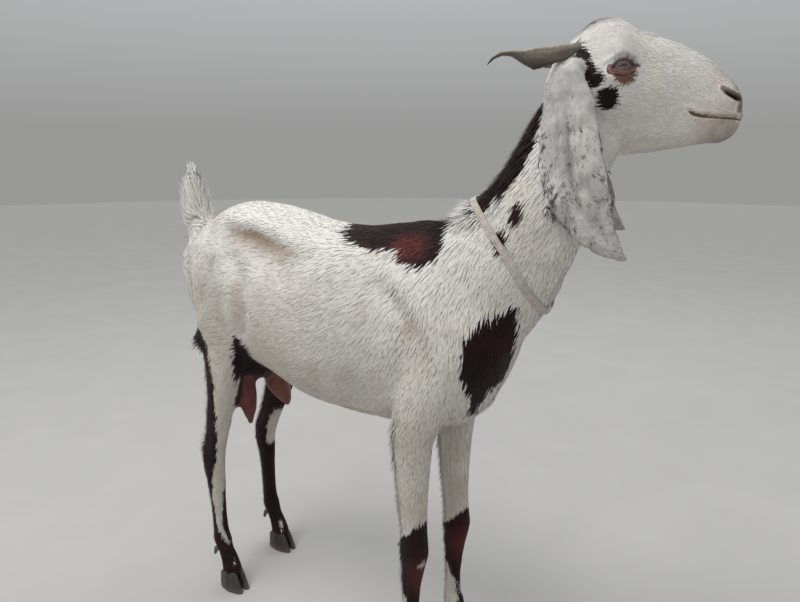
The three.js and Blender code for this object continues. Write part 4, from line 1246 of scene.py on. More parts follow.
RING = np.array([[-0.5, 0.0], [0.5, 0.0], [0.0, 0.10]])  # a flat three-sided lock: across and up, in widths
LOCK_ROUNDNESS = 0.28
LOCK_FACES = np.array([
    [
        0, 3, 4
    ], [0, 4, 1], [1, 4, 5], [1, 5, 2], [2, 5, 3], [2, 3, 0], [3, 6, 4], [4, 6, 5], [5, 6, 3], [0, 1, 2],
])


def gather_tuft(roots, length, owner, middle, middle_out, tip, tip_out):
    """Draws the hair at the end of the tail together into a pointed tuft."""
    tail = owner == NAMES.index("tail")
    top = solid_of("tail")[0]
    end = top[top[:, 2] > top[:, 2].max() - 6].mean(axis=0) + [-2, 0, 8]
    share = (ease(roots[:, 2], end[2] - 46, end[2] - 24) * tail)[:, None]
    goal = end + np.abs(rng.normal(size=roots.shape)) * [0, 0, 6] + rng.normal(size=roots.shape) * [5, 5, 0]
    onward = unit(goal - roots)
    reach = np.minimum(length, np.linalg.norm(goal - roots, axis=1) + 2)[:, None]
    outward = unit((roots - (end - [0, 0, 60])) * [1, 1, 0.4])
    own_middle, own_tip = roots + onward * reach * 0.5 + outward * 1.5, roots + onward * reach
    middle, tip = middle * (1 - share) + own_middle * share, tip * (1 - share) + own_tip * share
    return middle, unit(
        middle_out * (1 - share) + outward * share
    ), tip, unit(tip_out * (1 - share) + outward * share)


def lay_locks(skin, owner, roots, normals, lie, length, width, lift_middle, lift_tip, stand):
    """Closed tapering locks that start in the skin, lie along it and rise a little to their tips.

    Gives the points of each lock and the way each point faces, which is close to the way the skin faces.
    """
    reach = np.cos(stand) * length
    middle, middle_out = skin.on(
        roots + lie * (0.5 * reach)[:, None] + normals * (0.4 * np.sin(stand) * length)[:, None]
    )
    middle = middle + middle_out * (lift_middle + 0.42 * np.sin(stand) * length)[:, None]
    tip, tip_out = skin.on(roots + lie * reach[:, None] + normals * (0.5 * np.sin(stand) * length)[:, None])
    tip = tip + tip_out * (lift_tip + np.sin(stand) * length)[:, None]
    middle, middle_out, tip, tip_out = gather_tuft(roots, length, owner, middle, middle_out, tip, tip_out)
    onward = unit(middle - roots)
    middle_out, tip_out = unit(middle_out + normals), unit(tip_out + normals)
    root = roots - normals * 0.4
    places, facings = [], []
    for centre, facing, share in ((root, normals, 0.9), (middle, middle_out, 1.0)):
        across = unit(np.cross(onward, facing))
        up = unit(np.cross(across, onward))
        size = (width * share)[:, None]
        outward = unit(facing * 0.7 + up * 0.3)
        places += [centre + across * size * a + up * size * b for a, b in RING]
        facings += [outward + across * a * LOCK_ROUNDNESS for a, _ in RING]
    places.append(tip)
    facings.append(tip_out)
    return np.stack(places, 1), unit(np.stack(facings, 1))


def unwrap(points, kind):
    """Where each point lies on the skin's own unwrap, 0 to 1 each way: round a part, and along it."""
    x, y, z = points.T
    head = to_head(points)
    if kind == "trunk":
        round_it, along = np.arctan2(y, z - 640), x
    elif kind == "neck":
        round_it, along = np.arctan2(
            y - np.interp(z, [668, 982], [0, 50]), x - np.interp(z, [668, 982], [258, 408])
        ), z
    elif kind == "head":
        round_it, along = np.arctan2(head[:, 1], head[:, 2]), head[:, 0]
    elif kind == "ears":
        round_it, along = (
            np.arctan2(np.where(y > 40, 1, -1) * (np.abs(head[:, 1]) - 86), head[:, 0] - 30) * 0.5
            + np.where(y > 40, 1.5, -1.5), z
        )
    elif kind == "tail":
        round_it, along = np.arctan2(y, x + 366), z
    else:
        middle = np.median(x)
        round_it, along = np.arctan2(np.abs(y) - 62, x - middle) * 0.5 + np.where(y > 0, 1.5, -1.5), z
    low, high = along.min(), along.max()
    return np.stack(
        [0.03 + 0.94 * (round_it + pi) / (2 * pi), 0.03 + 0.94 * (along - low) / max(high - low, 1)], 1
    )


BAKE_PATCH = 0.003
MOST_LOCKS = 19500  # locks in one piece, ten triangles each


def lock_piece(name, places, facings, width, length, colours, tips, unwrapped, material):
    """One piece of the coat: joined locks with their colours and their two maps."""
    count = len(places)
    faces = (LOCK_FACES[None] + 7 * np.arange(count)[:, None, None]).reshape(-1, 3)
    mesh = plain_mesh(name, to_row(places.reshape(-1, 3)), faces)
    # painted shade: each lock is darker at its root, where the coat shades it, and lighter towards its tip
    shade = np.array([0.93, 0.93, 0.94, 0.98, 0.98, 1.0, 1.03])
    tinted = (
        colours[:, None, :] * shade[None, :, None]
        * (1 - tips[:, None, None] * (1 - shade[None, :, None]) * 0.3)
    )
    set_colours(mesh, "hair_colour", np.clip(tinted.reshape(-1, 3), 0, 1))
    across = np.array([-0.5, 0.5, 0.0, -0.5, 0.5, 0.0, 0.0])
    along = np.array([0.0, 0.0, 0.0, 0.5, 0.5, 0.5, 1.0])
    strand = np.stack(
        [across[None] * width[:, None] + np.arange(count)[:, None] * 3.7, along[None] * length[:, None]], -1
    )
    patch = np.stack([across, along - 0.5], -1)[None] * BAKE_PATCH + unwrapped[:, None, :]
    set_uv(mesh, "OFBake", patch.reshape(-1, 2))
    set_uv(mesh, "strand", strand.reshape(-1, 2))
    piece = show(name, mesh, material)
    mesh.normals_split_custom_set_from_vertices(facings.reshape(-1, 3).tolist())
    return piece


PARTS = {  # coat pieces: the solids they grow on, and the kind of unwrap
    "coat_trunk": (("trunk",), "trunk"),
    "coat_neck": (("neck",), "neck"),
    "coat_head": (("head",), "head"),
    "coat_ears": (("ear_right", "ear_left"), "ears"),
    "coat_forelegs": (("foreleg_right", "foreleg_left"), "legs"),
    "coat_hindlegs": (("hindleg_right", "hindleg_left", "udder"), "legs"),
    "coat_tail": (("tail",), "tail"),
}


BODY_TUFTS = [  # where hair stands out: how steeply in degrees, place and reach
    (32, [284, -10, 826], [34, 40, 26]),  # withers
    (46, [-270, -90, 558], [32, 40, 30]),  # back of the thigh
    (18, [-290, -84, 330], [26, 40, 50]),  # hock
    (22, [296, 0, 548], [44, 50, 26]),  # brisket
]
HEAD_TUFTS = [
    (34, [74, 0, 78], [14, 26, 14]),  # forehead
    (18, [0, 0, 88], [52, 30, 18]),  # crown
    (16, [182, 0, -40], [16, 20, 12]),  # chin
]


def standing(points, normals, owner):
    """How steeply the hair stands from the skin, as an angle, where tufts and fringes break the outline."""
    z = points[:, 2]
    head = to_head(points)
    angle = sum(steep * hump(points, at, reach) for steep, at, reach in BODY_TUFTS)
    angle += sum(steep * hump(head, at, reach) for steep, at, reach in HEAD_TUFTS)
    nape, _ = from_line(points, NAPE_STRIPE + [[262, -4, 812]])
    angle += 15 * (1 - ease(nape, 12, 34))
    angle += 16 * (owner == NAMES.index("tail"))
    leg = np.isin(owner, [i for i, name in enumerate(NAMES) if "leg" in name])
    behind = ease(-normals[:, 0], 0.35, 0.9) * leg
    angle += 26 * behind * ease(z, 60, 110) * (1 - ease(z, 560, 640))
    angle += 5 * hump(np.abs(points), [185, 70, 480], [40, 50, 40])
    angle += 9 * (1 - ease(z, 470, 520)) * (owner == NAMES.index("trunk"))
    return radians(1) * angle


def press_under_tape(skin, places):
    """Flattens the locks where the collar's tape lies on them."""
    flat = places.reshape(-1, 3)
    x, _, z = flat.T
    away = np.abs(
        np.hypot(x - COLLAR_LOOP["centre"][0], z - COLLAR_LOOP["centre"][1]) - COLLAR_LOOP["radius"]
    )
    under = np.flatnonzero((away < 11) & (x > 175) & (z > 560))
    below, facing = skin.on(flat[under])
    height = np.sum((flat[under] - below) * facing, axis=1)
    most = 1.3 + 3.2 * ease(away[under], 4.5, 11)
    flat[under] -= facing * np.maximum(height - most, 0)[:, None]
    return flat.reshape(places.shape)


def lay_lashes():
    """The places of the lashes along the upper lids, seven points for each as in a lock."""
    lashes, facings = [], []
    for side in (RIGHT, LEFT):
        out, ahead, up = eye_frame(side)
        for a in np.linspace(-8.5, 8.0, 30):
            arch = 1 - abs(a / LIDS["reach"]) ** 2.2
            b = (LIDS["upper"] + 1.6) * arch - 0.6 + 0.09 * a + rng.uniform(-0.3, 0.5)
            bearing = unit(out * np.sqrt(max(EYE_RADIUS ** 2 - a * a - b * b, 20)) + ahead * a + up * b)
            root = EYE[side] + bearing * (EYE_RADIUS + 1.5)
            reach = rng.uniform(4.5, 7.0)
            fan = unit(
                out * 0.8 + ahead * (a * 0.06 + rng.uniform(-0.15, 0.15)) - up * rng.uniform(0.25, 0.55)
            )
            middle = root + fan * reach * 0.5
            tip = root + fan * reach * 0.95 + up * reach * 0.22
            across = unit(np.cross(fan, up))
            rows = []
            for centre, wide in ((root, 0.42), (middle, 0.3)):
                rows += [centre - across * wide / 2, centre + across * wide / 2, centre + up * wide * 0.5]
            lashes.append([*rows, tip])
            facings.append([unit(out * 0.5 + up) @ HEAD_TURN.T] * 7)
    return from_head(np.array(lashes).reshape(-1, 3)).reshape(-1, 7, 3), np.array(facings)


def grow_coat(skin, material):
    """The whole coat, in locks that overlap like the hair of a short-haired goat."""
    closed = open_places(skin)
    chosen, shares = skin.scatter(skin.sizes[:, 0] * (1))
    roots = skin.at(skin.points, chosen, shares)
    kept = rng.random(len(roots)) > skin.at(closed, chosen, shares)
    chosen, shares, roots = chosen[kept], shares[kept], roots[kept]
    count = len(roots)
    owner = skin.owner[skin.triangles[chosen][np.arange(count), shares.argmax(axis=1)]]
    normals = unit(skin.at(skin.normals, chosen, shares))
    _, length, width = skin.at(skin.sizes, chosen, shares).T
    depth = skin.at(skin.depth, chosen, shares)
    lie = skin.at(skin.lie, chosen, shares)
    swirl = (
        radians(7) * grain(roots, 42, 71) + radians(5) * grain(roots, 9, 72)
        + radians(5) * rng.normal(size=count)
    )
    lie = unit(lie - normals * np.sum(lie * normals, axis=1, keepdims=True))
    lie = lie * np.cos(swirl)[:, None] + np.cross(normals, lie) * np.sin(swirl)[:, None]
    stand = standing(roots, normals, owner) * rng.uniform(0.35, 1.25, count)
    length = length * rng.uniform(0.7, 1.2, count) * (1 + 0.5 * np.sin(np.minimum(stand, 0.5)))
    width = width * rng.uniform(0.7, 1.3, count) * 1
    lift_middle = depth * rng.uniform(0.16, 0.34, count)
    lift_tip = depth * rng.uniform(0.14, 0.46, count)
    places, facings = lay_locks(skin, owner, roots, normals, lie, length, width, lift_middle, lift_tip, stand)
    places = press_under_tape(skin, places)
    colours, dark = hair_colours(roots, normals, owner, rng.uniform(-1, 1, count))
    colours = colours * (rng.uniform(0.93, 1.04, count) * (1 + 0.03 * grain(roots, 7, 73)))[:, None]
    # painted shade: locks along the partings of the coat are greyed, where one sees down between the hairs; a
    # few others are greyed at random
    parted = grain(
        np.stack([roots @ [0.45, 0, 1], roots @ [1, 0, -0.45] * 0.16, roots[:, 1] * 0.2], 1), 2.6, 74
    )
    grey_locks_and_parting_shade = (rng.random(count) < 0.02 + 0.30 * ease(parted, 0.95, 1.6))[:, None] & (dark < 0.3)[:, None]
    colours = np.where(grey_locks_and_parting_shade, colours * 0.72 + PARTING_SHADE_GREY * 0.20, colours)
    total = 0
    for name, (nodes, kind) in PARTS.items():
        mine = np.flatnonzero(np.isin(owner, [NAMES.index(node) for node in nodes]))
        if not len(mine):
            continue
        unwrapped = unwrap(roots[mine], kind)
        pieces = -(-len(mine) // MOST_LOCKS)
        order = np.argsort(unwrapped[:, 1] if kind == "trunk" else unwrapped[:, 0], kind="stable")
        for k, group in enumerate(np.array_split(order, pieces)):
            some = mine[group]
            label = name if pieces == 1 else f"{name}_{k + 1}"
            lock_piece(
                label, places[some], facings[some], width[some], length[some], colours[some], dark[some],
                unwrapped[group], material,
            )
            total += len(some)
    lashes, facings = lay_lashes()
    ones = np.ones(len(lashes))
    shades = np.tile(linear("#6d6058"), (len(lashes), 1))
    lock_piece(
        "lashes", lashes, facings, ones * 0.4, ones * 6, shades, ones, unwrap(lashes[:, 0], "head"),
        material
    )
    print("locks", total)


# ---------- finishes ----------
def add(tree, kind, inputs=None, **settings):
    """Adds one shader node; an input is a value or the socket that feeds it."""
    node = tree.nodes.new(kind)
    for name, value in settings.items():
        setattr(node, name, value)
    for name, value in (inputs or {}).items():
        if isinstance(value, bpy.types.NodeSocket):
            tree.links.new(value, node.inputs[name])
        else:
            node.inputs[name].default_value = value
    return node


def new_finish(name):
    material = bpy.data.materials.new(name)
    material.use_nodes = True
    tree = material.node_tree
    tree.nodes.clear()
    shader = add(tree, "ShaderNodeBsdfPrincipled")
    add(tree, "ShaderNodeOutputMaterial", {"Surface": shader.outputs["BSDF"]})
    return material, tree, shader


def feed(tree, shader, **inputs):
    for name, value in inputs.items():
        socket = shader.inputs[name.replace("_", " ")]
        if isinstance(value, bpy.types.NodeSocket):
            tree.links.new(value, socket)
        else:
            socket.default_value = value


def shade_range(tree, value, low, high, dark, light):
    """A factor that runs from dark to light as the value runs from low to high."""
    node = add(
        tree, "ShaderNodeMapRange",
        {"Value": value, "From Min": low, "From Max": high, "To Min": dark, "To Max": light}
    )
    return node.outputs["Result"]


def tint(tree, colour, factor):
    """A colour times a grey factor."""
    grey = add(tree, "ShaderNodeCombineColor", {"Red": factor, "Green": factor, "Blue": factor})
    node = add(
        tree, "ShaderNodeMix", {"Factor": 1.0, 6: colour, 7: grey.outputs["Color"]}, data_type="RGBA",
        blend_type="MULTIPLY"
    )
    return node.outputs[2]


def hair_finish():
    """Short goat hair: each lock carries fine strands along its length, dull with a slight sheen."""
    material, tree, shader = new_finish("short_goat_hair")
    place = add(tree, "ShaderNodeUVMap", uv_map="strand")
    strands = add(tree, "ShaderNodeMapping", {"Vector": place.outputs["UV"], "Scale": (2.6, 0.10, 1.0)})
    streak = add(
        tree, "ShaderNodeTexNoise", {"Vector": strands.outputs["Vector"], "Scale": 1.0, "Detail": 3.0}
    )
    colour = add(tree, "ShaderNodeAttribute", attribute_name="hair_colour")
    streaked = tint(
        tree, colour.outputs["Color"], shade_range(tree, streak.outputs["Fac"], 0.3, 0.7, 0.84, 1.08)
    )
    bump = add(tree, "ShaderNodeBump", {"Height": streak.outputs["Fac"], "Strength": 0.6, "Distance": 0.0003})
    feed(tree, shader, Base_Color=streaked, Roughness=0.62, Normal=bump.outputs["Normal"])
    shader.inputs["Specular IOR Level"].default_value = 0.14
    shader.inputs["Sheen Weight"].default_value = 0.05
    shader.inputs["Sheen Roughness"].default_value = 0.5
    return material


def skin_finish():
    """Goat skin: matt and grainy under the coat, smoother and a little moist where it is bare."""
    material, tree, shader = new_finish("goat_skin")
    place = add(tree, "ShaderNodeTexCoord")
    pores = add(
        tree, "ShaderNodeTexNoise", {"Vector": place.outputs["Object"], "Scale": 900.0, "Detail": 2.0}
    )
    folds = add(
        tree, "ShaderNodeTexVoronoi", {"Vector": place.outputs["Object"], "Scale": 520.0},
        feature="DISTANCE_TO_EDGE"
    )
    mottle = add(
        tree, "ShaderNodeTexNoise", {"Vector": place.outputs["Object"], "Scale": 160.0, "Detail": 3.0}
    )
    colour = add(tree, "ShaderNodeAttribute", attribute_name="skin_colour")
    bare = add(tree, "ShaderNodeAttribute", attribute_name="bare")
    mottled = tint(
        tree, colour.outputs["Color"], shade_range(tree, mottle.outputs["Fac"], 0.3, 0.7, 0.82, 1.1)
    )
    rough = shade_range(tree, bare.outputs["Fac"], 0.0, 1.0, 0.85, 0.46)
    cells = shade_range(tree, folds.outputs["Distance"], 0.0, 0.12, 0.0, 1.0)
    height = add(tree, "ShaderNodeMix", {"Factor": bare.outputs["Fac"], 2: pores.outputs["Fac"], 3: cells})
    bump = add(tree, "ShaderNodeBump", {"Height": height.outputs[0], "Strength": 0.35, "Distance": 0.0004})
    feed(tree, shader, Base_Color=mottled, Roughness=rough, Normal=bump.outputs["Normal"])
    return material


def dress_skin(skin, material):
    colours, dark = hair_colours(skin.points, skin.normals, skin.owner, np.zeros(len(skin.points)))
    under = colours * (0.94 - 0.10 * dark)[:, None]
    bare = skin.bare[:, None]
    mixed = under * (1 - bare) + skin.bare_colour * bare
    set_colours(skin.mesh, "skin_colour", np.clip(mixed, 0, 1))
    set_colours(skin.mesh, "bare", np.repeat(bare, 3, axis=1))
    return show("skin", skin.mesh, material, replaces=NAMES)


# ---------- eyes ----------
def eye_ball(side, material):
    """A goat's eye: brown iris with fine spokes round a wide level pupil, its front slightly raised."""
    out, ahead, up = eye_frame(side)
    rings, sides = 56, 84
    angles = pi * (np.arange(rings + 1) / rings) ** 1.35
    turns = 2 * pi * np.arange(sides) / sides
    places = []
    for angle in angles[1:-1]:
        reach = EYE_RADIUS + 0.9 * np.exp(-((angle / 0.62) ** 2))
        ring = (
            np.cos(angle) * out
            + np.sin(angle) * (np.cos(turns)[:, None] * ahead + np.sin(turns)[:, None] * up * side)
        )
        places.append(EYE[side] + reach * ring)
    front = EYE[side] + (EYE_RADIUS + 0.9) * out
    back = EYE[side] - EYE_RADIUS * out
    points = np.concatenate([front[None], *places, back[None]])
    faces = []
    for i in range(sides):
        j = (i + 1) % sides
        faces.append([0, 1 + i, 1 + j])
        last = 1 + (rings - 2) * sides
        faces.append([last + i, len(points) - 1, last + j])
        for ring in range(rings - 2):
            a, b = 1 + ring * sides + i, 1 + ring * sides + j
            faces += [[a, a + sides, b + sides], [a, b + sides, b]]
    faces = np.array(faces)
    mesh = plain_mesh(f"eye_{side}", to_row(from_head(points)), faces)
    away = points - EYE[side]
    across, tall = away @ ahead, away @ up
    centre = np.hypot(across, tall)
    spokes = grain(np.stack([np.arctan2(tall, across) * 9, centre * 0.5, centre * 0], 1), 0.35, 81)
    iris = linear("#7d6052") * (1 + 0.30 * spokes)[:, None]
    iris = iris * (1 - 0.35 * ease(centre, 3, 9))[:, None]
    white = linear("#7d5a52") * (1 + 0.15 * grain(points, 2.0, 82))[:, None]
    edge = ease(centre, 9.0, 10.0)[:, None]
    colour = iris * (1 - edge) + white * edge
    ring = np.exp(-(((centre - 9.2) / 0.7) ** 2))[:, None]
    colour = colour * (1 - 0.75 * ring)
    pupil = (np.abs(across) / 5.2) ** 4 + (np.abs(tall) / 2.0) ** 4
    pupil = (1 - ease(pupil, 0.75, 1.25))[:, None]
    colour = colour * (1 - pupil) + linear("#0b0a10") * pupil
    front_half = (away @ out > 0)[:, None]
    colour = np.where(front_half, colour, white)
    set_colours(mesh, "eye_colour", np.clip(colour, 0, 1))
    outward = np.sum(corner_normals(points, faces) * away, axis=1).mean() > 0
    if not outward:
        mesh.flip_normals()
    name = "eye_right" if side == RIGHT else "eye_left"
    return show(f"{name}_ball", mesh, material, replaces=(name,))


def eye_finish():
    """A wet eye: matt iris colours under a clear smooth coat."""
    material, tree, shader = new_finish("wet_eye")
    colour = add(tree, "ShaderNodeAttribute", attribute_name="eye_colour")
    feed(tree, shader, Base_Color=colour.outputs["Color"], Roughness=0.35)
    shader.inputs["Coat Weight"].default_value = 1.0
    shader.inputs["Coat Roughness"].default_value = 0.03
    return material


# ---------- horns and claws ----------
def smooth_copy(name, size, even):
    """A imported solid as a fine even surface: its mesh, points and triangles."""
    made = even_grid(*solid_of(name), size)
    points, edges, triangles = arrays_of(made)
    net = Net(edges, len(points))
    share = min(0.9, even ** 2 / (20 * size ** 2 / 2))
    smooth = net.spread(points, 20, share)
    points = smooth + net.spread(points - smooth, 20, share)
    return made, points, triangles


def set_points(mesh, points):
    mesh.vertices.foreach_set("co", np.ascontiguousarray(to_row(points), np.float32).ravel())
    mesh.update()


def make_horns(material):
    for name in ("horn_right", "horn_left"):
        mesh, points, triangles = smooth_copy(name, 1.15, 2.2)
        normals = corner_normals(points, triangles)
        head = to_head(points)
        back = -head[:, 0]
        wave = back + 2.5 * grain(head, 14, 91)
        fade = 1 - ease(back, 70, 112)
        rings = np.sin(wave * 2 * pi / 7.5) + 0.5 * np.sin(wave * 2 * pi / 3.1)
        grooves = 0.35 * grain(head * [0.1, 1, 1], 2.6, 92)
        points = points + normals * (0.12 * rings * fade + grooves * (0.5 + 0.5 * fade))[:, None]
        rooted = 1 - ease(back, 4, 12)
        side = RIGHT if name.endswith("right") else LEFT
        inward = HEAD_TURN @ unit([0.80, -side * 0.35, -0.12])
        points = points + inward * (9 * rooted)[:, None]
        set_points(mesh, points)
        light = 0.5 + 0.5 * grain(head * [0.35, 1, 1], 8, 93)
        colour = linear("#8d8275") * light[:, None] + linear("#63594e") * (1 - light)[:, None]
        # painted light: the faces that turn upwards are lighter
        upper = ease(normals @ (HEAD_TURN @ [0, 0, 1]), 0.2, 0.9)[:, None]
        colour = colour * (1 + 0.45 * upper)
        colour = colour * (1 - 0.07 * (rings * fade > 0.4))[:, None]
        low_edge = ease(38 - head[:, 2], 2, 14)[:, None]
        colour = colour * (1 - low_edge * 0.66)
        base = (1 - ease(back, 6, 22))[:, None]
        colour = colour * (1 - base * 0.25)
        set_colours(mesh, "sheath_colour", np.clip(colour, 0, 1))
        show(f"{name}_sheath", mesh, material, replaces=(name,))


def sheath_finish(name, rough, grain_scale):
    """Horn or hoof: dull ringed keratin with a fine long grain."""
    material, tree, shader = new_finish(name)
    place = add(tree, "ShaderNodeTexCoord")
    stretched = add(tree, "ShaderNodeMapping", {"Vector": place.outputs["Object"], "Scale": grain_scale})
    fibres = add(
        tree, "ShaderNodeTexNoise", {"Vector": stretched.outputs["Vector"], "Scale": 1.0, "Detail": 4.0}
    )
    colour = add(tree, "ShaderNodeAttribute", attribute_name="sheath_colour")
    shaded = tint(
        tree, colour.outputs["Color"], shade_range(tree, fibres.outputs["Fac"], 0.3, 0.7, 0.78, 1.15)
    )
    bump = add(tree, "ShaderNodeBump", {"Height": fibres.outputs["Fac"], "Strength": 0.4, "Distance": 0.0003})
    feed(tree, shader, Base_Color=shaded, Roughness=rough, Normal=bump.outputs["Normal"])
    return material


def make_claws(material):
    for foot in ("fore_right", "fore_left", "hind_right", "hind_left"):
        for half in ("inner", "outer"):
            name = f"claw_{foot}_{half}"
            mesh, points, triangles = smooth_copy(name, 1.5, 2.0)
            normals = corner_normals(points, triangles)
            height = points[:, 2].copy()
            wave = height + 1.6 * grain(points, 12, 95)
            rings = np.sin(wave * 2 * pi / 4.2) * ease(height, 4, 9) * (1 - ease(height, 28, 34))
            wall = 1 - np.abs(normals[:, 2])
            points = points + normals * ((0.22 * rings + 0.25 * grain(points, 5, 96)) * wall)[:, None]
            chipped = 0.5 * np.maximum(grain(points, 6, 97), 0) * (height < 4) * wall
            points = points - normals * chipped[:, None]
            points[:, 2] = np.where(height < 0.9, 0.0, np.maximum(points[:, 2], 0.0))
            top = ease(height, 33.5, 35.5)
            centre = points.mean(axis=0)
            points[:, :2] += (centre[:2] - points[:, :2]) * (0.30 * top)[:, None]
            points[:, 2] += 7.5 * top
            set_points(mesh, points)
            streak = 0.5 + 0.5 * grain(points * [1, 1, 0.18], 3.2, 98)
            colour = linear("#474140") * streak[:, None] + linear("#292524") * (1 - streak)[:, None]
            pale = (1 - ease(height, 2, 16))[:, None]
            colour = colour * (1 - 0.35 * pale) + linear("#6f6760") * 0.35 * pale
            colour = colour * (1 - 0.16 * (rings > 0.5))[:, None]
            set_colours(mesh, "sheath_colour", np.clip(colour, 0, 1))
            show(f"{name}_wall", mesh, material, replaces=(name,))
            name = f"dewclaw_{foot}_{half}"
            mesh, points, triangles = smooth_copy(name, 1.0, 1.8)
            set_points(mesh, points)
            streak = 0.5 + 0.5 * grain(points, 3.0, 99)
            colour = linear("#4d4843") * streak[:, None] + linear("#332f2c") * (1 - streak)[:, None]
            set_colours(mesh, "sheath_colour", np.clip(colour, 0, 1))
            show(f"{name}_wall", mesh, material, replaces=(name,))


# ---------- collar ----------
COLLAR_LOOP = {"centre": (108.0, 593.0), "radius": 301.0}
TAPE = {"width": 9.6, "thick": 1.5}


def collar_line(skin, count=260):
    """A smooth ring round the base of the neck, where the collar's drum cuts the skin, and how it faces."""
    x, _, z = skin.points.T
    away = np.hypot(x - COLLAR_LOOP["centre"][0], z - COLLAR_LOOP["centre"][1]) - COLLAR_LOOP["radius"]
    ends = skin.net.ends
    cut = (away[ends[:, 0]] < 0) & (away[ends[:, 1]] >= 0) & (x[ends[:, 0]] > 175) & (z[ends[:, 0]] > 560)
    near, far = ends[cut].T
    share = (away[near] / (away[near] - away[far]))[:, None]
    ring = skin.points[near] * (1 - share) + skin.points[far] * share
    facing = unit(skin.normals[near] * (1 - share) + skin.normals[far] * share)
    body = (skin.owner[near] == NAMES.index("trunk")) | (skin.owner[near] == NAMES.index("neck"))
    ring, facing = ring[body], facing[body]
    slope = np.arctan2(ring[:, 2] - COLLAR_LOOP["centre"][1], ring[:, 0] - COLLAR_LOOP["centre"][0])
    arc = slope * COLLAR_LOOP["radius"]
    middle = (arc.min() + arc.max()) / 2
    turn = np.arctan2(ring[:, 1], (arc - middle) * 0.55)
    order = np.argsort(turn)
    turns = np.linspace(-pi, pi, count, endpoint=False)
    loop = np.stack([np.interp(turns, turn[order], ring[order, k], period=2 * pi) for k in range(3)], 1)
    out = np.stack([np.interp(turns, turn[order], facing[order, k], period=2 * pi) for k in range(3)], 1)
    for _ in range(30):
        loop = loop * 0.5 + 0.25 * (np.roll(loop, 1, 0) + np.roll(loop, -1, 0))
        out = out * 0.5 + 0.25 * (np.roll(out, 1, 0) + np.roll(out, -1, 0))
    return loop, unit(out)


def make_collar(skin, material):
    """A flat woven tape with two stitched grooves, lying on the coat."""
    loop, out = collar_line(skin)
    onward = unit(np.roll(loop, -1, 0) - np.roll(loop, 1, 0))
    across = unit(np.cross(onward, out))
    out = unit(np.cross(across, onward))
    half, thick = TAPE["width"] / 2, TAPE["thick"]
    top = [
        (-half, 0.75), (-half + 0.5, 1.0), (-3.1, 1.0), (-2.7, 0.72), (-2.3, 1.0), (0, 1.05), (2.3, 1.0),
        (2.7, 0.72),
    
           (3.1, 1.0), (half - 0.5, 1.0), (half, 0.75)]
    profile = (
        [(a, h * thick) for a, h in top]
        + [(half, 0.2), (half - 0.4, 0.0), (-half + 0.4, 0.0), (-half, 0.2)]
    )
    lift = 3.6 + 0.35 * grain(loop, 30, 101)
    points = np.concatenate([
        loop + across * a + out * (h + lift)[:, None] for a, h in profile
    ]).reshape(len(profile), len(loop), 3)
    count, sides = len(loop), len(profile)
    faces = []
    for s in range(sides):
        for k in range(count):
            n, t = (k + 1) % count, (s + 1) % sides
            faces.append([s * count + k, s * count + n, t * count + n, t * count + k])
    faces = np.array(faces)
    mesh = plain_mesh("collar_tape", to_row(points.reshape(-1, 3)), faces)
    middle = points.mean(axis=0)
    check = corner_normals(points.reshape(-1, 3), np.concatenate([faces[:, :3], faces[:, [0, 2, 3]]]))
    if np.sum(check * (points - middle[None]).reshape(-1, 3)) < 0:
        mesh.flip_normals()
    length = np.concatenate([[0], np.cumsum(np.linalg.norm(np.diff(loop, axis=0), axis=1))])
    widths = np.array([a for a, _ in profile])
    uv = np.stack(np.broadcast_arrays(widths[:, None], length[None, :]), -1).reshape(-1, 2)
    set_uv(mesh, "weave", uv)
    return show("collar_tape", mesh, material, replaces=("collar",)), loop


def tape_finish():
    """Pale woven tape, a little soiled: a fine rib across and a matt surface."""
    material, tree, shader = new_finish("woven_tape")
    place = add(tree, "ShaderNodeUVMap", uv_map="weave")
    ribs = add(
        tree, "ShaderNodeTexWave", {"Vector": place.outputs["UV"], "Scale": 0.55, "Distortion": 0.6},
        bands_direction="Y"
    )
    threads = add(
        tree, "ShaderNodeTexWave", {"Vector": place.outputs["UV"], "Scale": 0.9, "Distortion": 0.4},
        bands_direction="X"
    )
    woven = add(
        tree, "ShaderNodeMath", {0: ribs.outputs["Fac"], 1: threads.outputs["Fac"]}, operation="MULTIPLY"
    )
    soil = add(tree, "ShaderNodeTexNoise", {"Vector": place.outputs["UV"], "Scale": 0.12, "Detail": 4.0})
    pale = add(tree, "ShaderNodeMix", {"Factor": shade_range(tree, soil.outputs["Fac"], 0.35, 0.7, 0.0, 1.0),
                                       6: (
                                           *linear("#cfc6bd"), 1
                                       ), 7: (*linear("#b3a59a"), 1)}, data_type="RGBA")
    colour = tint(tree, pale.outputs[2], shade_range(tree, woven.outputs["Value"], 0.0, 1.0, 0.86, 1.04))
    bump = add(
        tree, "ShaderNodeBump", {"Height": woven.outputs["Value"], "Strength": 0.5, "Distance": 0.0003}
    )
    feed(tree, shader, Base_Color=colour, Roughness=0.75, Normal=bump.outputs["Normal"])
    return material


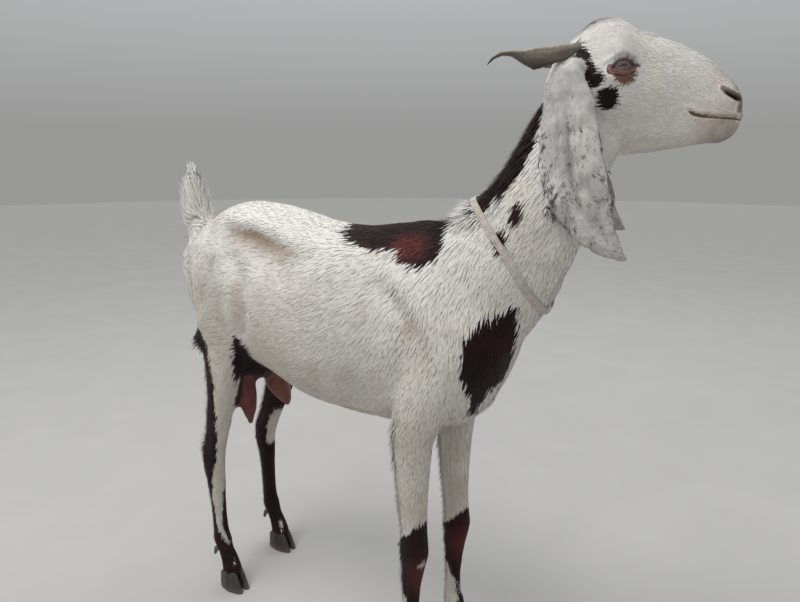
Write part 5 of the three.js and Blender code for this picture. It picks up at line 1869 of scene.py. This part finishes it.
# ---------- floor, light and camera ----------
def light_and_camera():
    bpy.context.scene.view_settings.view_transform = "Standard"
    floor_mesh = bpy.data.meshes.new("floor")
    bm = bmesh.new()
    bmesh.ops.create_circle(bm, cap_ends=True, segments=96, radius=14.0)
    bm.to_mesh(floor_mesh)
    bm.free()
    material, tree, shader = new_finish("plain_pale_floor")
    place = add(tree, "ShaderNodeTexCoord")
    mottle = add(tree, "ShaderNodeTexNoise", {"Vector": place.outputs["Object"], "Scale": 5.0, "Detail": 5.0})
    colour = tint(
        tree, add(tree, "ShaderNodeRGB").outputs[0],
        shade_range(tree, mottle.outputs["Fac"], 0.3, 0.7, 0.97, 1.02)
    )
    tree.nodes["RGB"].outputs[0].default_value = (*linear("#b2b0ac"), 1)
    feed(tree, shader, Base_Color=colour, Roughness=0.85)
    floor_mesh.materials.append(material)
    floor = bpy.data.objects.new("floor", floor_mesh)
    floor.location.z = -0.0005
    bpy.context.collection.objects.link(floor)

    world = bpy.data.worlds.new("soft_room")
    world.use_nodes = True
    tree = world.node_tree
    height = add(
        tree, "ShaderNodeSeparateXYZ", {"Vector": add(tree, "ShaderNodeTexCoord").outputs["Generated"]}
    )
    overhead = shade_range(tree, height.outputs["Z"], 0.05, 0.85, 0.0, 1.0)
    sky = add(tree, "ShaderNodeMix", {
        "Factor": overhead, 6: (*(linear("#d6d6d5") * 0.47), 1), 7: (*(linear("#f2f5f9") * 1.02), 1),
    }, data_type="RGBA")
    tree.links.new(sky.outputs[2], tree.nodes["Background"].inputs["Color"])
    bpy.context.scene.world = world

    for name, at, size, power in (
        ("key", (-0.8, -1.1, 3.4), 1.5, 51), (
            "catch", (-0.15, -2.5, 2.15), 0.28, 5
        ), ("back", (0.4, 2.2, 3.0), 2.4, 16),
    ):
        lamp = bpy.data.lights.new(name, "AREA")
        lamp.shape, lamp.size, lamp.energy = "DISK", size, power
        piece = bpy.data.objects.new(name, lamp)
        piece.location = at
        piece.rotation_euler = (Vector((0, 0, 0.55)) - Vector(at)).to_track_quat("-Z", "Y").to_euler()
        bpy.context.collection.objects.link(piece)

    lens = bpy.data.cameras.new("camera")
    lens.sensor_width, lens.lens = 36.0, 26.55
    lens.clip_start, lens.clip_end = 0.02, 60.0
    camera = bpy.data.objects.new("camera", lens)
    ahead = Vector((-0.5582, 0.7972, -0.2300)).normalized()
    right = Vector((0.819, 0.574, 0.0)).normalized()
    turn = Matrix((right, right.cross(ahead), -ahead)).transposed()
    camera.matrix_world = Matrix.Translation(Vector(to_row([683.3, -766.7, 890.0]))) @ turn.to_4x4()
    bpy.context.collection.objects.link(camera)
    bpy.context.scene.camera = camera


light_and_camera()
skin = Skin()
dress_skin(skin, skin_finish())
grow_coat(skin, hair_finish())
wet = eye_finish()
for side in (RIGHT, LEFT):
    eye_ball(side, wet)
make_horns(sheath_finish("horn_sheath", 0.5, (120.0, 900.0, 900.0)))
make_claws(sheath_finish("hoof_wall", 0.42, (900.0, 900.0, 140.0)))
make_collar(skin, tape_finish())
